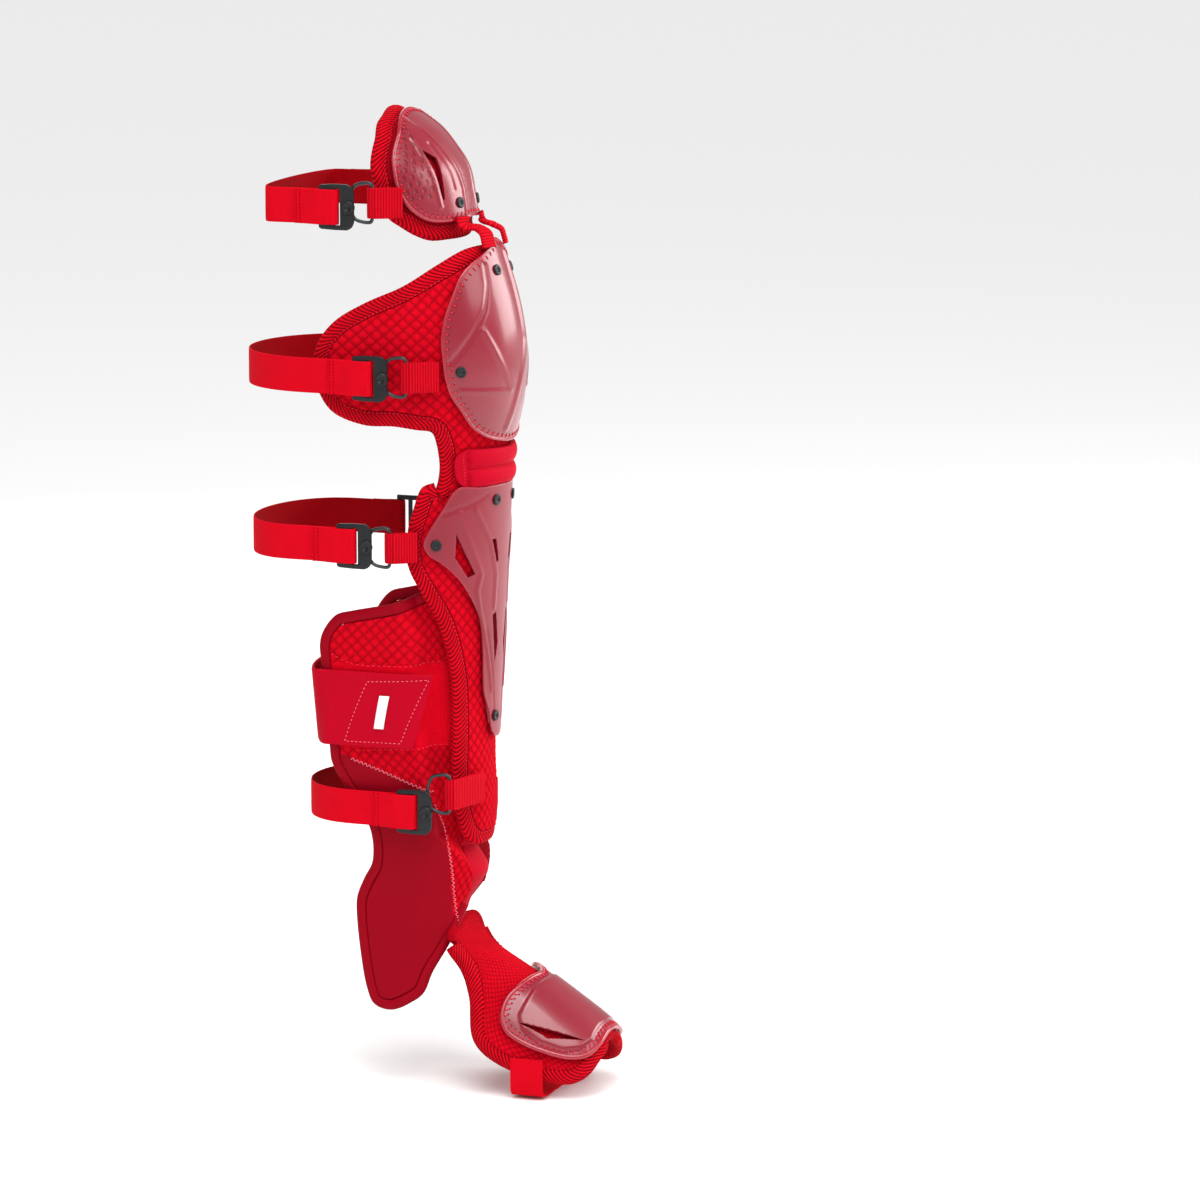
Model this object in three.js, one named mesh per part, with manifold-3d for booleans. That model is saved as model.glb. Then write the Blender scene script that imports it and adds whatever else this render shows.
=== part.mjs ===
// A catcher's guard for the right leg: thigh cup, knee shell, shin shell, calf wings and toe hood.
// Millimetres. +Z runs up the leg, the shin faces -Y, and the outer side of the leg faces -X.
// The origin lies on the leg's axis at the height of the strap below the knee.
import * as THREE from 'three';
import { LoftGeometry } from 'three/addons/geometries/LoftGeometry.js';
import { mergeVertices } from 'three/addons/utils/BufferGeometryUtils.js';
import Module from 'manifold-3d';

const wasm = await Module();
wasm.setup();

// Driving sizes. Half widths and half depths are those of the worn guard's outer skin.
const LEG_LENGTH = 400;
const KNEE_HALF_WIDTH = 65;
const KNEE_HALF_DEPTH = 72;
const KNEE_FRONT = 74;
const THIGH_HALF_WIDTH = 61;
const THIGH_HALF_DEPTH = 60;
const THIGH_FRONT = 36;
const FOOT_HALF_WIDTH = 50;
const PAD_THICK = 9;
const SHELL_THICK = 2.6;
const CUFF_RISE = 4;
const WING_THICK = 5;
const BINDING_WIDTH = 13;
const BINDING_THICK = 10;
const WING_BINDING_WIDTH = 8.5;
const WING_BINDING_THICK = 7;
const STRAP_WIDTH = 25.4;
const STRAP_THICK = 1.7;
const STRAP_FOLD = 19;
const TAB_WIDTH = 22;
const TAB_THICK = 2.2;
const LINK_WIDTH = 14;
const BAND_THICK = 2.4;
const RING_WIRE = 2.6;
const RING_LENGTH = 17;
const RING_HEIGHT = 30;
const HOOK_THICK = 2.4;
const HOOK_LENGTH = 27;
const HOOK_ARM = 3.4;
const HOOK_BAR = 4;
const SLOT_LENGTH = 6;
const SLIDER_BAR = 3;
const RIVET_HEAD = 8;
const RIVET_SHANK = 4;
const RIVET_RISE = 1.4;
const LOOP_DROP = 10;
const GAP = 0.4;
const SEAM_GAP = 1.25;
const SHELL_SEAT = 1.5;
const TOE_SEAT = 1.1;
const LINING_THICK = 1.2;
const ANKLE_HOLLOW = 5;
const BAND_DEPTH = 0.9;
const WING_OUTER = -1;
const FOOT_PAD_THICK = 6;
const BADGE_THICK = 1;
// Two rows of a panel lie at least this share of its height apart, or less where its edge sweeps across.
const LEVEL_SHARE = 0.018;
const SHELL_LEVEL_SHARE = 0.012;

// Depths below the outermost skin, negative inwards.
const SHELL_INNER = -SHELL_THICK;
const PAD_OUTER = SHELL_INNER - SHELL_SEAT;
const PAD_INNER = PAD_OUTER - PAD_THICK;
const BINDING_DEPTH = PAD_OUTER - BINDING_THICK / 2;
const UNDER_PAD = BINDING_DEPTH - BINDING_THICK / 2 - SEAM_GAP;
const LINING_OUTER = PAD_INNER - SHELL_SEAT - 5 * GAP;

// Sections of the leg. Heights (up) are hundredths of LEG_LENGTH, the rest are shares of the knee.
const LEG_ROWS = [
  { up: 58.75, front: 0.68, wide: 0.77, deep: 0.72 },
  { up: 54.5, front: 0.77, wide: 0.86, deep: 0.81 },
  { up: 45, front: 0.93, wide: 0.97, deep: 0.94 },
  { up: 36.25, front: 1.0, wide: 1.0, deep: 1.0 },
  { up: 27.5, front: 0.97, wide: 0.985, deep: 0.985 },
  { up: 18.75, front: 0.865, wide: 0.94, deep: 0.89 },
  { up: 13.75, front: 0.85, wide: 0.89, deep: 0.85 },
  { up: 0, front: 0.81, wide: 0.89, deep: 0.83 },
  { up: -15, front: 0.77, wide: 0.86, deep: 0.86 },
  { up: -25, front: 0.745, wide: 0.83, deep: 0.86 },
  { up: -37.5, front: 0.73, wide: 0.77, deep: 0.805 },
  { up: -50, front: 0.745, wide: 0.69, deep: 0.695 },
  { up: -57.5, front: 0.65, wide: 0.645, deep: 0.64 },
  { up: -65, front: 0.54, wide: 0.615, deep: 0.585 },
  { up: -87.5, front: 0.405, wide: 0.585, deep: 0.585 },
];
// Sections of the thigh cup, which leans back at its top. The rest are shares of the thigh.
const THIGH_ROWS = [
  { up: 82, front: -0.78, wide: 0.62, deep: 0.67 },
  { up: 81, front: -0.56, wide: 0.67, deep: 0.72 },
  { up: 79.75, front: -0.36, wide: 0.74, deep: 0.78 },
  { up: 78.25, front: -0.1, wide: 0.8, deep: 0.83 },
  { up: 76, front: 0.25, wide: 0.89, deep: 0.92 },
  { up: 72, front: 0.63, wide: 0.98, deep: 1.0 },
  { up: 69, front: 0.83, wide: 1.0, deep: 1.0 },
  { up: 64.5, front: 0.95, wide: 1.0, deep: 1.0 },
  { up: 61.25, front: 1.0, wide: 0.98, deep: 0.98 },
  { up: 56.25, front: 1.0, wide: 0.95, deep: 0.97 },
];
// Arches of the toe hood from the ankle forward: crest and edge, in hundredths of LEG_LENGTH.
const FOOT_ROWS = [
  { crestY: -8.5, crestUp: -67.6, edgeY: -7.2, edgeUp: -72.7, wide: 0.72 },
  { crestY: -10, crestUp: -71.5, edgeY: -9.5, edgeUp: -76.2, wide: 0.72 },
  { crestY: -13.2, crestUp: -74, edgeY: -11.5, edgeUp: -82, wide: 0.8 },
  { crestY: -17.8, crestUp: -76.8, edgeY: -12.8, edgeUp: -89, wide: 0.96 },
  { crestY: -22, crestUp: -79.2, edgeY: -18, edgeUp: -93.2, wide: 1.0 },
  { crestY: -27.5, crestUp: -82.8, edgeY: -27.5, edgeUp: -96, wide: 0.94 },
  { crestY: -33, crestUp: -86.5, edgeY: -33.8, edgeUp: -95.8, wide: 0.76 },
  { crestY: -36.5, crestUp: -89, edgeY: -37.2, edgeUp: -92.5, wide: 0.36 },
];

// Outlines on the forms: turn in degrees from the front towards the outer side, up as above.
const THIGH_EDGE = [
  [0, 81.5], [20, 81], [47, 78.75], [64, 75.25], [74, 71.75], [79, 69.25], [79, 65.5],
  [75, 61.25], [64, 59.25], [53, 57.75], [40, 56.75], [22, 56.75], [0, 56.75],
];
const THIGH_SHELL_EDGE = [
  [0, 80], [31, 78.25], [52, 74.25], [61, 70.75], [64, 67.75], [62, 65.25], [57, 62.75],
  [46, 60.75], [30, 60.25], [11, 60.5], [0, 60.75],
];
const KNEE_EDGE = [
  [0, 56.5], [33, 56], [59, 53.5], [87, 49.5], [114, 46], [132, 42.5], [142, 38], [143, 32.5],
  [140, 29], [132, 25.5], [113, 23.5], [93, 23.5], [78, 23], [67, 22.5], [62, 20], [60, 17], [62, 13.5],
];
const KNEE_SHELL_EDGE = [
  [0, 57], [11, 56], [24, 54.5], [36, 53], [46, 51], [54, 47.5], [60, 44], [63, 40.5], [63, 36.5],
  [61, 32.5], [57, 29.5], [51, 27], [41, 23.5], [28, 21.5], [12, 20.5], [0, 20.25],
];
const CUFF_EDGE = [
  [0, 19.2], [30, 19.4], [43, 19.4], [50, 18.2], [51, 14.5], [46, 12.9], [38, 12.7], [0, 12.7],
];
const SHIN_SHELL_EDGE = [
  [0, 12.5], [32, 12.5], [50, 12.5], [61, 8.5], [69, 5], [73, 2.5], [69, 0.5], [60, -1], [47, -4],
  [38, -7], [27, -12], [23, -17], [21, -24], [20, -26], [14, -29.5], [9, -33.5], [0, -34.5],
];
const SHIN_EDGE = [
  [62, 13.2], [73, 12.5], [82, 8.5], [86, 4.5], [85, -1.5], [74, -6.5], [60, -12], [52, -17],
  [46, -23.5], [45, -30], [46, -36], [48, -39.5], [50, -47.5], [43, -52], [28, -54.5], [0, -55],
];
const WING_EDGE = [
  [70, -7], [97, -9], [122, -10.5], [134, -11.5], [142, -14.5], [144, -17], [142, -21.5],
  [143, -35.5], [145, -39], [144, -41.5], [139, -46.5], [131, -51.5], [129, -57.5], [138, -61],
  [145, -64.5], [144, -68], [135, -76], [126, -81.5], [117, -84.5], [98, -85.5], [78, -84],
  [64, -82], [56, -78], [43, -73.5], [34, -70], [27, -66.5],
];
const INNER_WING_EDGE = [
  [70, -7], [97, -9], [122, -10.5], [134, -11.5], [142, -14.5], [144, -17], [142, -21.5],
  [143, -35.5], [145, -39], [144, -41.5], [139, -46.5], [131, -51.5], [129, -57.5], [133, -62.5],
  [131, -68.5], [122, -73.5], [106, -75.5], [88, -74], [72, -71], [58, -68], [44, -65.5], [32, -63.5],
];
// Turn at which a calf wing comes out from under the shin pad, by height.
const WING_TUCK = [
  { up: -5, turn: 84 },
  { up: -15, turn: 62 },
  { up: -52, turn: 55 },
  { up: -57.5, turn: 20 },
  { up: -90, turn: 20 },
];
// On the foot the second number is the place along the hood, in rows of FOOT_ROWS.
const FOOT_EDGE = [
  [90, 0.1], [90, 1], [90, 2], [90, 3], [90, 4], [90, 5], [88, 5.8], [80, 6.45], [60, 6.9], [30, 7], [0, 7],
];
const TOE_SHELL_EDGE = [
  [0, 3.85], [18, 3.7], [32, 3.55], [45, 3.45], [56, 3.55], [64, 3.85], [67, 4.3], [67, 5.1], [65, 5.7],
  [60, 6.15], [46, 6.5], [20, 6.65], [-20, 6.65], [-46, 6.5], [-60, 6.15], [-65, 5.7], [-67, 5],
  [-67, 4.1], [-64, 3.7], [-58, 3.3], [-46, 3.05], [-32, 3.1], [-14, 3.55],
];

const { degToRad, lerp, clamp } = THREE.MathUtils;
const at = (up) => (up * LEG_LENGTH) / 100;

// The row of a table at a place between its rows, key by key.
function between(rows, key, value) {
  const down = rows[0][key] > rows[rows.length - 1][key];
  const past = rows.findIndex((row) => (down ? row[key] <= value : row[key] >= value));
  const next = past < 0 ? rows.length - 1 : Math.max(past, 1);
  const [a, b] = [rows[next - 1], rows[next]];
  const share = clamp((value - a[key]) / (b[key] - a[key]), 0, 1);
  return Object.fromEntries(Object.keys(a).map((name) => [name, lerp(a[name], b[name], share)]));
}

// A U-shaped skin: an elliptic front, and sides that run straight back past a quarter turn.
function uSkin(rows, front, halfWidth, halfDepth) {
  return (turn, up) => {
    const row = between(rows, 'up', up);
    const deep = row.deep * halfDepth;
    const angle = degToRad(Math.min(Math.abs(turn), 90));
    const past = degToRad(Math.max(Math.abs(turn) - 90, 0));
    const x = -Math.sign(turn) * row.wide * halfWidth * Math.sin(angle);
    return new THREE.Vector3(x, deep - row.front * front - deep * Math.cos(angle) + deep * past, at(up));
  };
}

// The arched skin of the toe hood, by turn and by place along it in rows of FOOT_ROWS.
const footRows = FOOT_ROWS.map((row, place) => ({ place, ...row }));
function footSkin(turn, place) {
  const row = between(footRows, 'place', place);
  const fall = 1 - Math.cos(degToRad(turn));
  return new THREE.Vector3(
    -row.wide * FOOT_HALF_WIDTH * Math.sin(degToRad(turn)),
    at(lerp(row.crestY, row.edgeY, fall)),
    at(lerp(row.crestUp, row.edgeUp, fall)),
  );
}

// Points at a depth under a skin, measured along its normal, which is taken over a short reach.
function onForm(skin, levels, reachTurn, reachUp, sign) {
  const form = (turn, up, depth = 0) => {
    const around = skin(turn + reachTurn, up).sub(skin(turn - reachTurn, up));
    const rise = skin(turn, up + reachUp).sub(skin(turn, up - reachUp));
    return skin(turn, up).addScaledVector(rise.cross(around).normalize(), sign * depth);
  };
  form.levels = levels;
  return form;
}

const upsOf = (rows) => rows.map((row) => row.up);

const legSkin = uSkin(LEG_ROWS, KNEE_FRONT, KNEE_HALF_WIDTH, KNEE_HALF_DEPTH);
const thighSkin = uSkin(THIGH_ROWS, THIGH_FRONT, THIGH_HALF_WIDTH, THIGH_HALF_DEPTH);
const onLeg = onForm(legSkin, upsOf(LEG_ROWS), 2, 2, 1);
const onThigh = onForm(thighSkin, upsOf(THIGH_ROWS), 2, 0.8, 1);
const onFoot = onForm(footSkin, footRows.map((row) => row.place), 2, 0.4, -1);

// An outline as a smooth run of [turn, up] points that are evenly spaced over the form.
function smooth(form, points, count, closed) {
  const knots = points.map(([turn, up]) => new THREE.Vector3(turn, at(up), 0));
  const curve = new THREE.CatmullRomCurve3(knots, closed, 'centripetal');
  const fine = curve.getPoints(count * 8).map((knot) => [knot.x, (knot.y * 100) / LEG_LENGTH]);
  const travelled = [0];
  for (let i = 1; i < fine.length; i += 1) {
    travelled.push(travelled[i - 1] + form(...fine[i]).distanceTo(form(...fine[i - 1])));
  }
  const whole = travelled[travelled.length - 1];
  const run = Array.from({ length: count + 1 }, (_, i) => {
    const goal = (whole * i) / count;
    const next = clamp(travelled.findIndex((way) => way >= goal), 1, fine.length - 1);
    const share = (goal - travelled[next - 1]) / (travelled[next] - travelled[next - 1]);
    return [0, 1].map((axis) => lerp(fine[next - 1][axis], fine[next][axis], share));
  });
  return closed ? run.slice(0, -1) : run;
}

const mirrored = (half) => [...half, ...half.map(([turn, up]) => [-turn, up]).reverse()];
const wholeLoop = (half) => [...half, ...half.slice(1, -1).map(([turn, up]) => [-turn, up]).reverse()];

// Moves each point of an outline across it, over the form, by a distance to its right hand.
function shifted(form, outline, distance, closed) {
  const steps = 4;
  let moved = outline;
  for (let step = 0; step < steps; step += 1) moved = nudged(form, moved, distance / steps, closed);
  return moved;
}

function nudged(form, outline, distance, closed) {
  const step = 0.05;
  return outline.map(([turn, up], index) => {
    const last = outline.length - 1;
    const before = outline[closed ? (index + last) % (last + 1) : Math.max(index - 1, 0)];
    const after = outline[closed ? (index + 1) % (last + 1) : Math.min(index + 1, last)];
    const around = form(turn + step, up).sub(form(turn - step, up)).divideScalar(2 * step);
    const rise = form(turn, up + step).sub(form(turn, up - step)).divideScalar(2 * step);
    const normal = around.clone().cross(rise).normalize();
    const tangent = form(...after).sub(form(...before)).normalize();
    const move = tangent.cross(normal).multiplyScalar(distance);
    const [aa, ar, rr] = [around.dot(around), around.dot(rise), rise.dot(rise)];
    const [ma, mr] = [move.dot(around), move.dot(rise)];
    const scale = 1 / (aa * rr - ar * ar);
    return [turn + (ma * rr - mr * ar) * scale, up + (mr * aa - ma * ar) * scale];
  });
}

const meshes = new THREE.Group();

function material(color, roughness, metalness = 0) {
  return new THREE.MeshStandardMaterial({ color, roughness, metalness });
}

const LOOKS = {
  shell: () => material(0xa80c22, 0.25),
  pad: () => material(0xd21420, 0.85),
  binding: () => material(0xc4101c, 0.8),
  neoprene: () => material(0xb00a24, 0.7),
  webbing: () => material(0xcc1018, 0.85),
  lining: () => material(0x141416, 0.95),
  hardware: () => material(0x1a1c1e, 0.4),
  wire: () => material(0x3a3c40, 0.35, 1),
  white: () => material(0xf0f0ee, 0.5),
};

function add(name, geometry, look) {
  const mesh = new THREE.Mesh(geometry, LOOKS[look]());
  mesh.name = name;
  meshes.add(mesh);
  return mesh;
}

function solid(geometry) {
  const bare = new THREE.BufferGeometry().copy(geometry);
  bare.deleteAttribute('normal');
  bare.deleteAttribute('uv');
  const merged = mergeVertices(bare, 1e-4);
  return new wasm.Manifold(new wasm.Mesh({
    numProp: 3,
    vertProperties: merged.attributes.position.array,
    triVerts: new Uint32Array(merged.index.array),
  }));
}

function geometryOf(body) {
  const mesh = body.getMesh();
  const geometry = new THREE.BufferGeometry();
  geometry.setAttribute('position', new THREE.BufferAttribute(mesh.vertProperties, 3));
  geometry.setIndex(new THREE.BufferAttribute(mesh.triVerts, 1));
  return geometry;
}

function cut(geometry, ...tools) {
  return geometryOf(tools.reduce((body, tool) => body.subtract(solid(tool)), solid(geometry)));
}

// A bent wall on a form. Each of its rows runs across the outline at one height.
function panel(form, outline, outer, inner, columns, apart = LEVEL_SHARE) {
  const ups = outline.map((point) => point[1]);
  const [low, high] = [Math.min(...ups), Math.max(...ups)];
  const skip = (high - low) * apart;
  const margin = skip / 3;
  const kinks = form.levels.filter((up) => up > low + skip && up < high - skip);
  const near = (up, list) => list.some((other) => Math.abs(other - up) < skip);
  const edges = ups.map((up) => clamp(up, low + margin, high - margin)).filter((up) => !near(up, kinks));
  const levels = [...kinks, ...edges].sort((a, b) => b - a);
  const rows = levels.filter((up, i) => i === 0 || levels[i - 1] - up > skip / 2);
  const depthOf = (depth, turn, up) => (typeof depth === 'function' ? depth(turn, up) : depth);
  const sections = rows.map((up) => {
    const [from, to] = reach(outline, up);
    const turns = Array.from({ length: columns + 1 }, (_, i) => lerp(from, to, i / columns));
    const face = turns.map((turn) => form(turn, up, depthOf(outer, turn, up)));
    const back = turns.map((turn) => form(turn, up, depthOf(inner, turn, up))).reverse();
    return [...face, ...back];
  });
  const ends = [sections[0], sections[sections.length - 1]].map(middleOf);
  return welded(new LoftGeometry([ends[0], ...sections, ends[1]]));
}

// The middle line of a wall's end face, run there and back so that the face closes on it.
function middleOf(section) {
  const count = section.length / 2;
  const line = section.slice(0, count).map((spot, i) => spot.clone().lerp(section[2 * count - 1 - i], 0.5));
  return [...line, ...line.map((spot) => spot.clone()).reverse()];
}

function welded(geometry) {
  const bare = new THREE.BufferGeometry();
  bare.setAttribute('position', geometry.attributes.position);
  bare.setIndex(geometry.index);
  const merged = mergeVertices(bare, 1e-4);
  const kept = [];
  for (let i = 0; i < merged.index.count; i += 3) {
    const corners = [0, 1, 2].map((corner) => merged.index.getX(i + corner));
    if (new Set(corners).size === 3) kept.push(...corners);
  }
  merged.setIndex(kept);
  merged.computeVertexNormals();
  return merged;
}

// The least and greatest turn at which a closed outline crosses a height.
function reach(outline, up) {
  const crossings = [];
  outline.forEach(([turn, here], index) => {
    const [nextTurn, there] = outline[(index + 1) % outline.length];
    if ((here - up) * (there - up) > 0 || here === there) return;
    crossings.push(lerp(turn, nextTurn, (up - here) / (there - here)));
  });
  return [Math.min(...crossings), Math.max(...crossings)];
}

// A soft roll of oval section that follows an outline on a form.
function roll(form, outline, depth, width, thick, closed, sides = 6) {
  const depthOf = (turn, up) => (typeof depth === 'function' ? depth(turn, up) : depth);
  const centres = outline.map(([turn, up]) => form(turn, up, depthOf(turn, up)));
  const last = centres.length - 1;
  const sections = centres.map((centre, index) => {
    const before = centres[closed ? (index + last) % (last + 1) : Math.max(index - 1, 0)];
    const after = centres[closed ? (index + 1) % (last + 1) : Math.min(index + 1, last)];
    const tangent = after.clone().sub(before).normalize();
    const [turn, up] = outline[index];
    const out = form(turn, up, depthOf(turn, up) + 1).sub(centre);
    const across = out.cross(tangent).normalize();
    const rise = tangent.clone().cross(across);
    return Array.from({ length: sides }, (_, side) => {
      const angle = ((side + 0.5) / sides) * Math.PI * 2;
      return centre.clone()
        .addScaledVector(across, (Math.cos(angle) * width) / 2)
        .addScaledVector(rise, (Math.sin(angle) * thick) / 2);
    });
  });
  if (closed) return new LoftGeometry([...sections, sections[0]], { closed: true });
  return new LoftGeometry(sections, { capStart: true, capEnd: true });
}

// A ribbon standing on edge along plan points, from a low to a high height at each of them.
function ribbon(points, low, high, thick) {
  const sections = points.map((point, index) => {
    const before = points[Math.max(index - 1, 0)];
    const after = points[Math.min(index + 1, points.length - 1)];
    const tangent = after.clone().sub(before).normalize();
    const out = new THREE.Vector2(-tangent.y, tangent.x).multiplyScalar(thick / 2);
    const [a, b] = [point.clone().add(out), point.clone().sub(out)];
    const [bottom, top] = [low(point), high(point)];
    return [
      new THREE.Vector3(a.x, a.y, bottom), new THREE.Vector3(a.x, a.y, top),
      new THREE.Vector3(b.x, b.y, top), new THREE.Vector3(b.x, b.y, bottom),
    ];
  });
  return new LoftGeometry(sections, { capStart: true, capEnd: true });
}

// A flat strip along points in space, each with the direction that its face looks in.
function strip(points, outs, width, thick) {
  const sections = points.map((point, index) => {
    const before = points[Math.max(index - 1, 0)];
    const after = points[Math.min(index + 1, points.length - 1)];
    const tangent = after.clone().sub(before).normalize();
    const across = outs[index].clone().cross(tangent).normalize();
    const face = tangent.clone().cross(across);
    return [[-1, -1], [1, -1], [1, 1], [-1, 1]].map(([side, rise]) => point.clone()
      .addScaledVector(across, (side * width) / 2)
      .addScaledVector(face, (rise * thick) / 2));
  });
  return new LoftGeometry(sections, { capStart: true, capEnd: true });
}

// Padded panels and the rolls that bind their edges.
function boundPanel(name, form, edge, { closed, count, columns }) {
  const outline = smooth(form, closed ? wholeLoop(edge) : mirrored(edge), count, closed);
  const line = shifted(form, outline, BINDING_WIDTH / 2, closed);
  add(`${name}_binding`, roll(form, line, BINDING_DEPTH, BINDING_WIDTH, BINDING_THICK, closed), 'binding');
  const inside = shifted(form, outline, BINDING_WIDTH + SEAM_GAP, closed);
  add(`${name}_pad`, panel(form, inside, PAD_OUTER, PAD_INNER, columns), 'pad');
}

boundPanel('thigh', onThigh, THIGH_EDGE, { closed: true, count: 28, columns: 8 });
boundPanel('knee', onLeg, KNEE_EDGE, { closed: false, count: 40, columns: 12 });
boundPanel('shin', onLeg, SHIN_EDGE, { closed: false, count: 36, columns: 10 });

// Rigid shells, with a hole for each rivet and the cut-out windows.
function stand(form, turn, up) {
  const centre = form(turn, up, 0);
  const out = form(turn, up, 1).sub(centre).normalize();
  const turned = new THREE.Quaternion().setFromUnitVectors(new THREE.Vector3(0, 0, 1), out);
  return new THREE.Matrix4().compose(centre, turned, new THREE.Vector3(1, 1, 1));
}

function rivetHole(form, [turn, up]) {
  const reachIn = 3 * SHELL_THICK;
  const hole = new THREE.CylinderGeometry(RIVET_SHANK / 2 + GAP, RIVET_SHANK / 2 + GAP, 2 * reachIn, 8);
  return hole.rotateX(Math.PI / 2).applyMatrix4(stand(form, turn, up));
}

function rivet(name, form, [turn, up]) {
  const [head, shank] = [RIVET_HEAD / 2, RIVET_SHANK / 2];
  const profile = [
    [0, SHELL_INNER + GAP / 2], [shank, SHELL_INNER + GAP / 2], [shank, GAP], [head, GAP],
    [head * 0.75, GAP + RIVET_RISE], [0, GAP + RIVET_RISE],
  ].map(([radius, height]) => new THREE.Vector2(radius, height));
  const body = new THREE.LatheGeometry(profile, 8).rotateX(Math.PI / 2);
  add(name, body.applyMatrix4(stand(form, turn, up)), 'hardware');
}

// A prism through a shell whose corners are given on the form.
function windowCut(form, corners) {
  const reachOut = 2.5 * SHELL_THICK;
  const mean = (axis) => corners.reduce((sum, corner) => sum + corner[axis], 0) / corners.length;
  const frame = stand(form, mean(0), mean(1));
  const back = frame.clone().invert();
  const shape = new THREE.Shape(corners.map(([turn, up]) => {
    const spot = form(turn, up).applyMatrix4(back);
    return new THREE.Vector2(spot.x, spot.y);
  }));
  const prism = new THREE.ExtrudeGeometry(shape, { depth: 2 * reachOut, bevelEnabled: false });
  return prism.translate(0, 0, -reachOut).applyMatrix4(frame);
}

const bothSides = (corners) => [corners, corners.map(([turn, up]) => [-turn, up])];

function shell(name, form, edge, { count, closed = true, rivets, windows }) {
  const outline = closed ? wholeLoop(edge) : edge;
  const body = panel(form, smooth(form, outline, count, true), 0, SHELL_INNER, 8, SHELL_LEVEL_SHARE);
  const holes = rivets.map((spot) => rivetHole(form, spot));
  add(`${name}_shell`, cut(body, ...holes, ...windows.map((corners) => windowCut(form, corners))), 'shell');
  rivets.forEach((spot, index) => rivet(`${name}_rivet_${index + 1}`, form, spot));
}

shell('thigh', onThigh, THIGH_SHELL_EDGE, {
  count: 24,
  rivets: [[16, 63.5], [-16, 63.5]],
  windows: bothSides([[32, 73.2], [25, 71.8], [31, 64.3]]),
});
shell('knee', onLeg, KNEE_SHELL_EDGE, {
  count: 26,
  rivets: [[13, 51.5], [-13, 51.5], [52, 34], [-52, 34]],
  windows: [],
});
shell('shin', onLeg, SHIN_SHELL_EDGE, {
  count: 34,
  rivets: [[16, 9.8], [-16, 9.8], [64, 2.3], [-64, 2.3], [6, -30.5]],
  windows: [
    ...bothSides([[47, 4.5], [48, -0.2], [38, -3.6], [30, -2.6], [41, 1.6]]),
    ...bothSides([[20, 2.6], [14, 2.6], [10, -0.9], [13, -1.4]]),
    ...bothSides([[14, -11], [9, -10.3], [5, -16.6], [8.5, -19.8]]),
  ],
});

// The padded cuff that bulges out between the knee shell and the shin shell.
const cuffOuter = (turn) => SHELL_INNER + GAP + CUFF_RISE * Math.cos(degToRad(turn)) ** 2 + STRAP_THICK;
const cuffOutline = smooth(onLeg, wholeLoop(CUFF_EDGE), 20, true);
add('shin_cuff', panel(onLeg, cuffOutline, cuffOuter, PAD_OUTER + 2 * GAP, 8), 'pad');

// Calf wings: they start under the shin pad and come out to the skin past its edge.
function wingDepth(turn, up) {
  const tuck = between(WING_TUCK, 'up', up).turn;
  return lerp(UNDER_PAD, WING_OUTER, clamp((Math.abs(turn) - tuck - 3) / 16, 0, 1));
}
const WING_FRONT = [[42, -60], [40, -50], [40, -30], [44, -14]];

function calfWing(name, edge, side) {
  const turnOver = (outline) => (side > 0 ? outline : outline.map(([turn, up]) => [-turn, up]));
  const flip = (list) => (side > 0 ? list : [...list].reverse());
  const run = smooth(onLeg, edge, 28, false);
  const middle = (turn, up) => wingDepth(turn, up) - WING_THICK / 2;
  const line = flip(turnOver(shifted(onLeg, run, WING_BINDING_WIDTH / 2, false)));
  const edging = roll(onLeg, line, middle, WING_BINDING_WIDTH, WING_BINDING_THICK, false);
  add(`${name}_binding`, edging, 'neoprene');
  const inside = shifted(onLeg, run, WING_BINDING_WIDTH + SEAM_GAP - GAP, false);
  const outline = turnOver([...inside, ...WING_FRONT]);
  const inner = (turn, up) => wingDepth(turn, up) - WING_THICK;
  add(name, panel(onLeg, outline, wingDepth, inner, 5), 'pad');
}

calfWing('calf_wing_outer', WING_EDGE, 1);
calfWing('calf_wing_inner', INNER_WING_EDGE, -1);

// The quilted front of the ankle, from under the shin pad down to the tongue of the toe hood.
const ANKLE_EDGE = [
  [0, -48], [22, -48], [32, -52], [28, -57], [23, -61], [22, -65.5], [16, -67.3], [0, -67.35],
];
const ankleDepth = (turn, up) => {
  const hollow = ANKLE_HOLLOW * clamp((-60.5 - up) / 6, 0, 1);
  return lerp(UNDER_PAD, WING_OUTER, clamp((-55.6 - up) / 3, 0, 1)) - hollow;
};
const ankleInner = (turn, up) => ankleDepth(turn, up) - FOOT_PAD_THICK;
const ankleOutline = smooth(onLeg, wholeLoop(ANKLE_EDGE), 24, true);
add('ankle_pad', panel(onLeg, ankleOutline, ankleDepth, ankleInner, 6), 'pad');

// The toe hood: a bound pad over the instep, its shell, and the band that goes under the sole.
const footOutline = smooth(onFoot, mirrored(FOOT_EDGE), 34, false);
const footLine = shifted(onFoot, footOutline, -BINDING_WIDTH / 2, false).reverse();
const footRoll = roll(onFoot, footLine, -BINDING_THICK / 2, BINDING_WIDTH, BINDING_THICK * 0.8, false);
add('foot_binding', footRoll, 'binding');
const footSides = shifted(onFoot, footOutline, -BINDING_WIDTH - SEAM_GAP, false);
const footInside = [...footSides, [-36, 0.06], [36, 0.06]];
add('foot_pad', panel(onFoot, footInside, -FOOT_PAD_THICK, 0, 10, SHELL_LEVEL_SHARE), 'pad');
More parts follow.
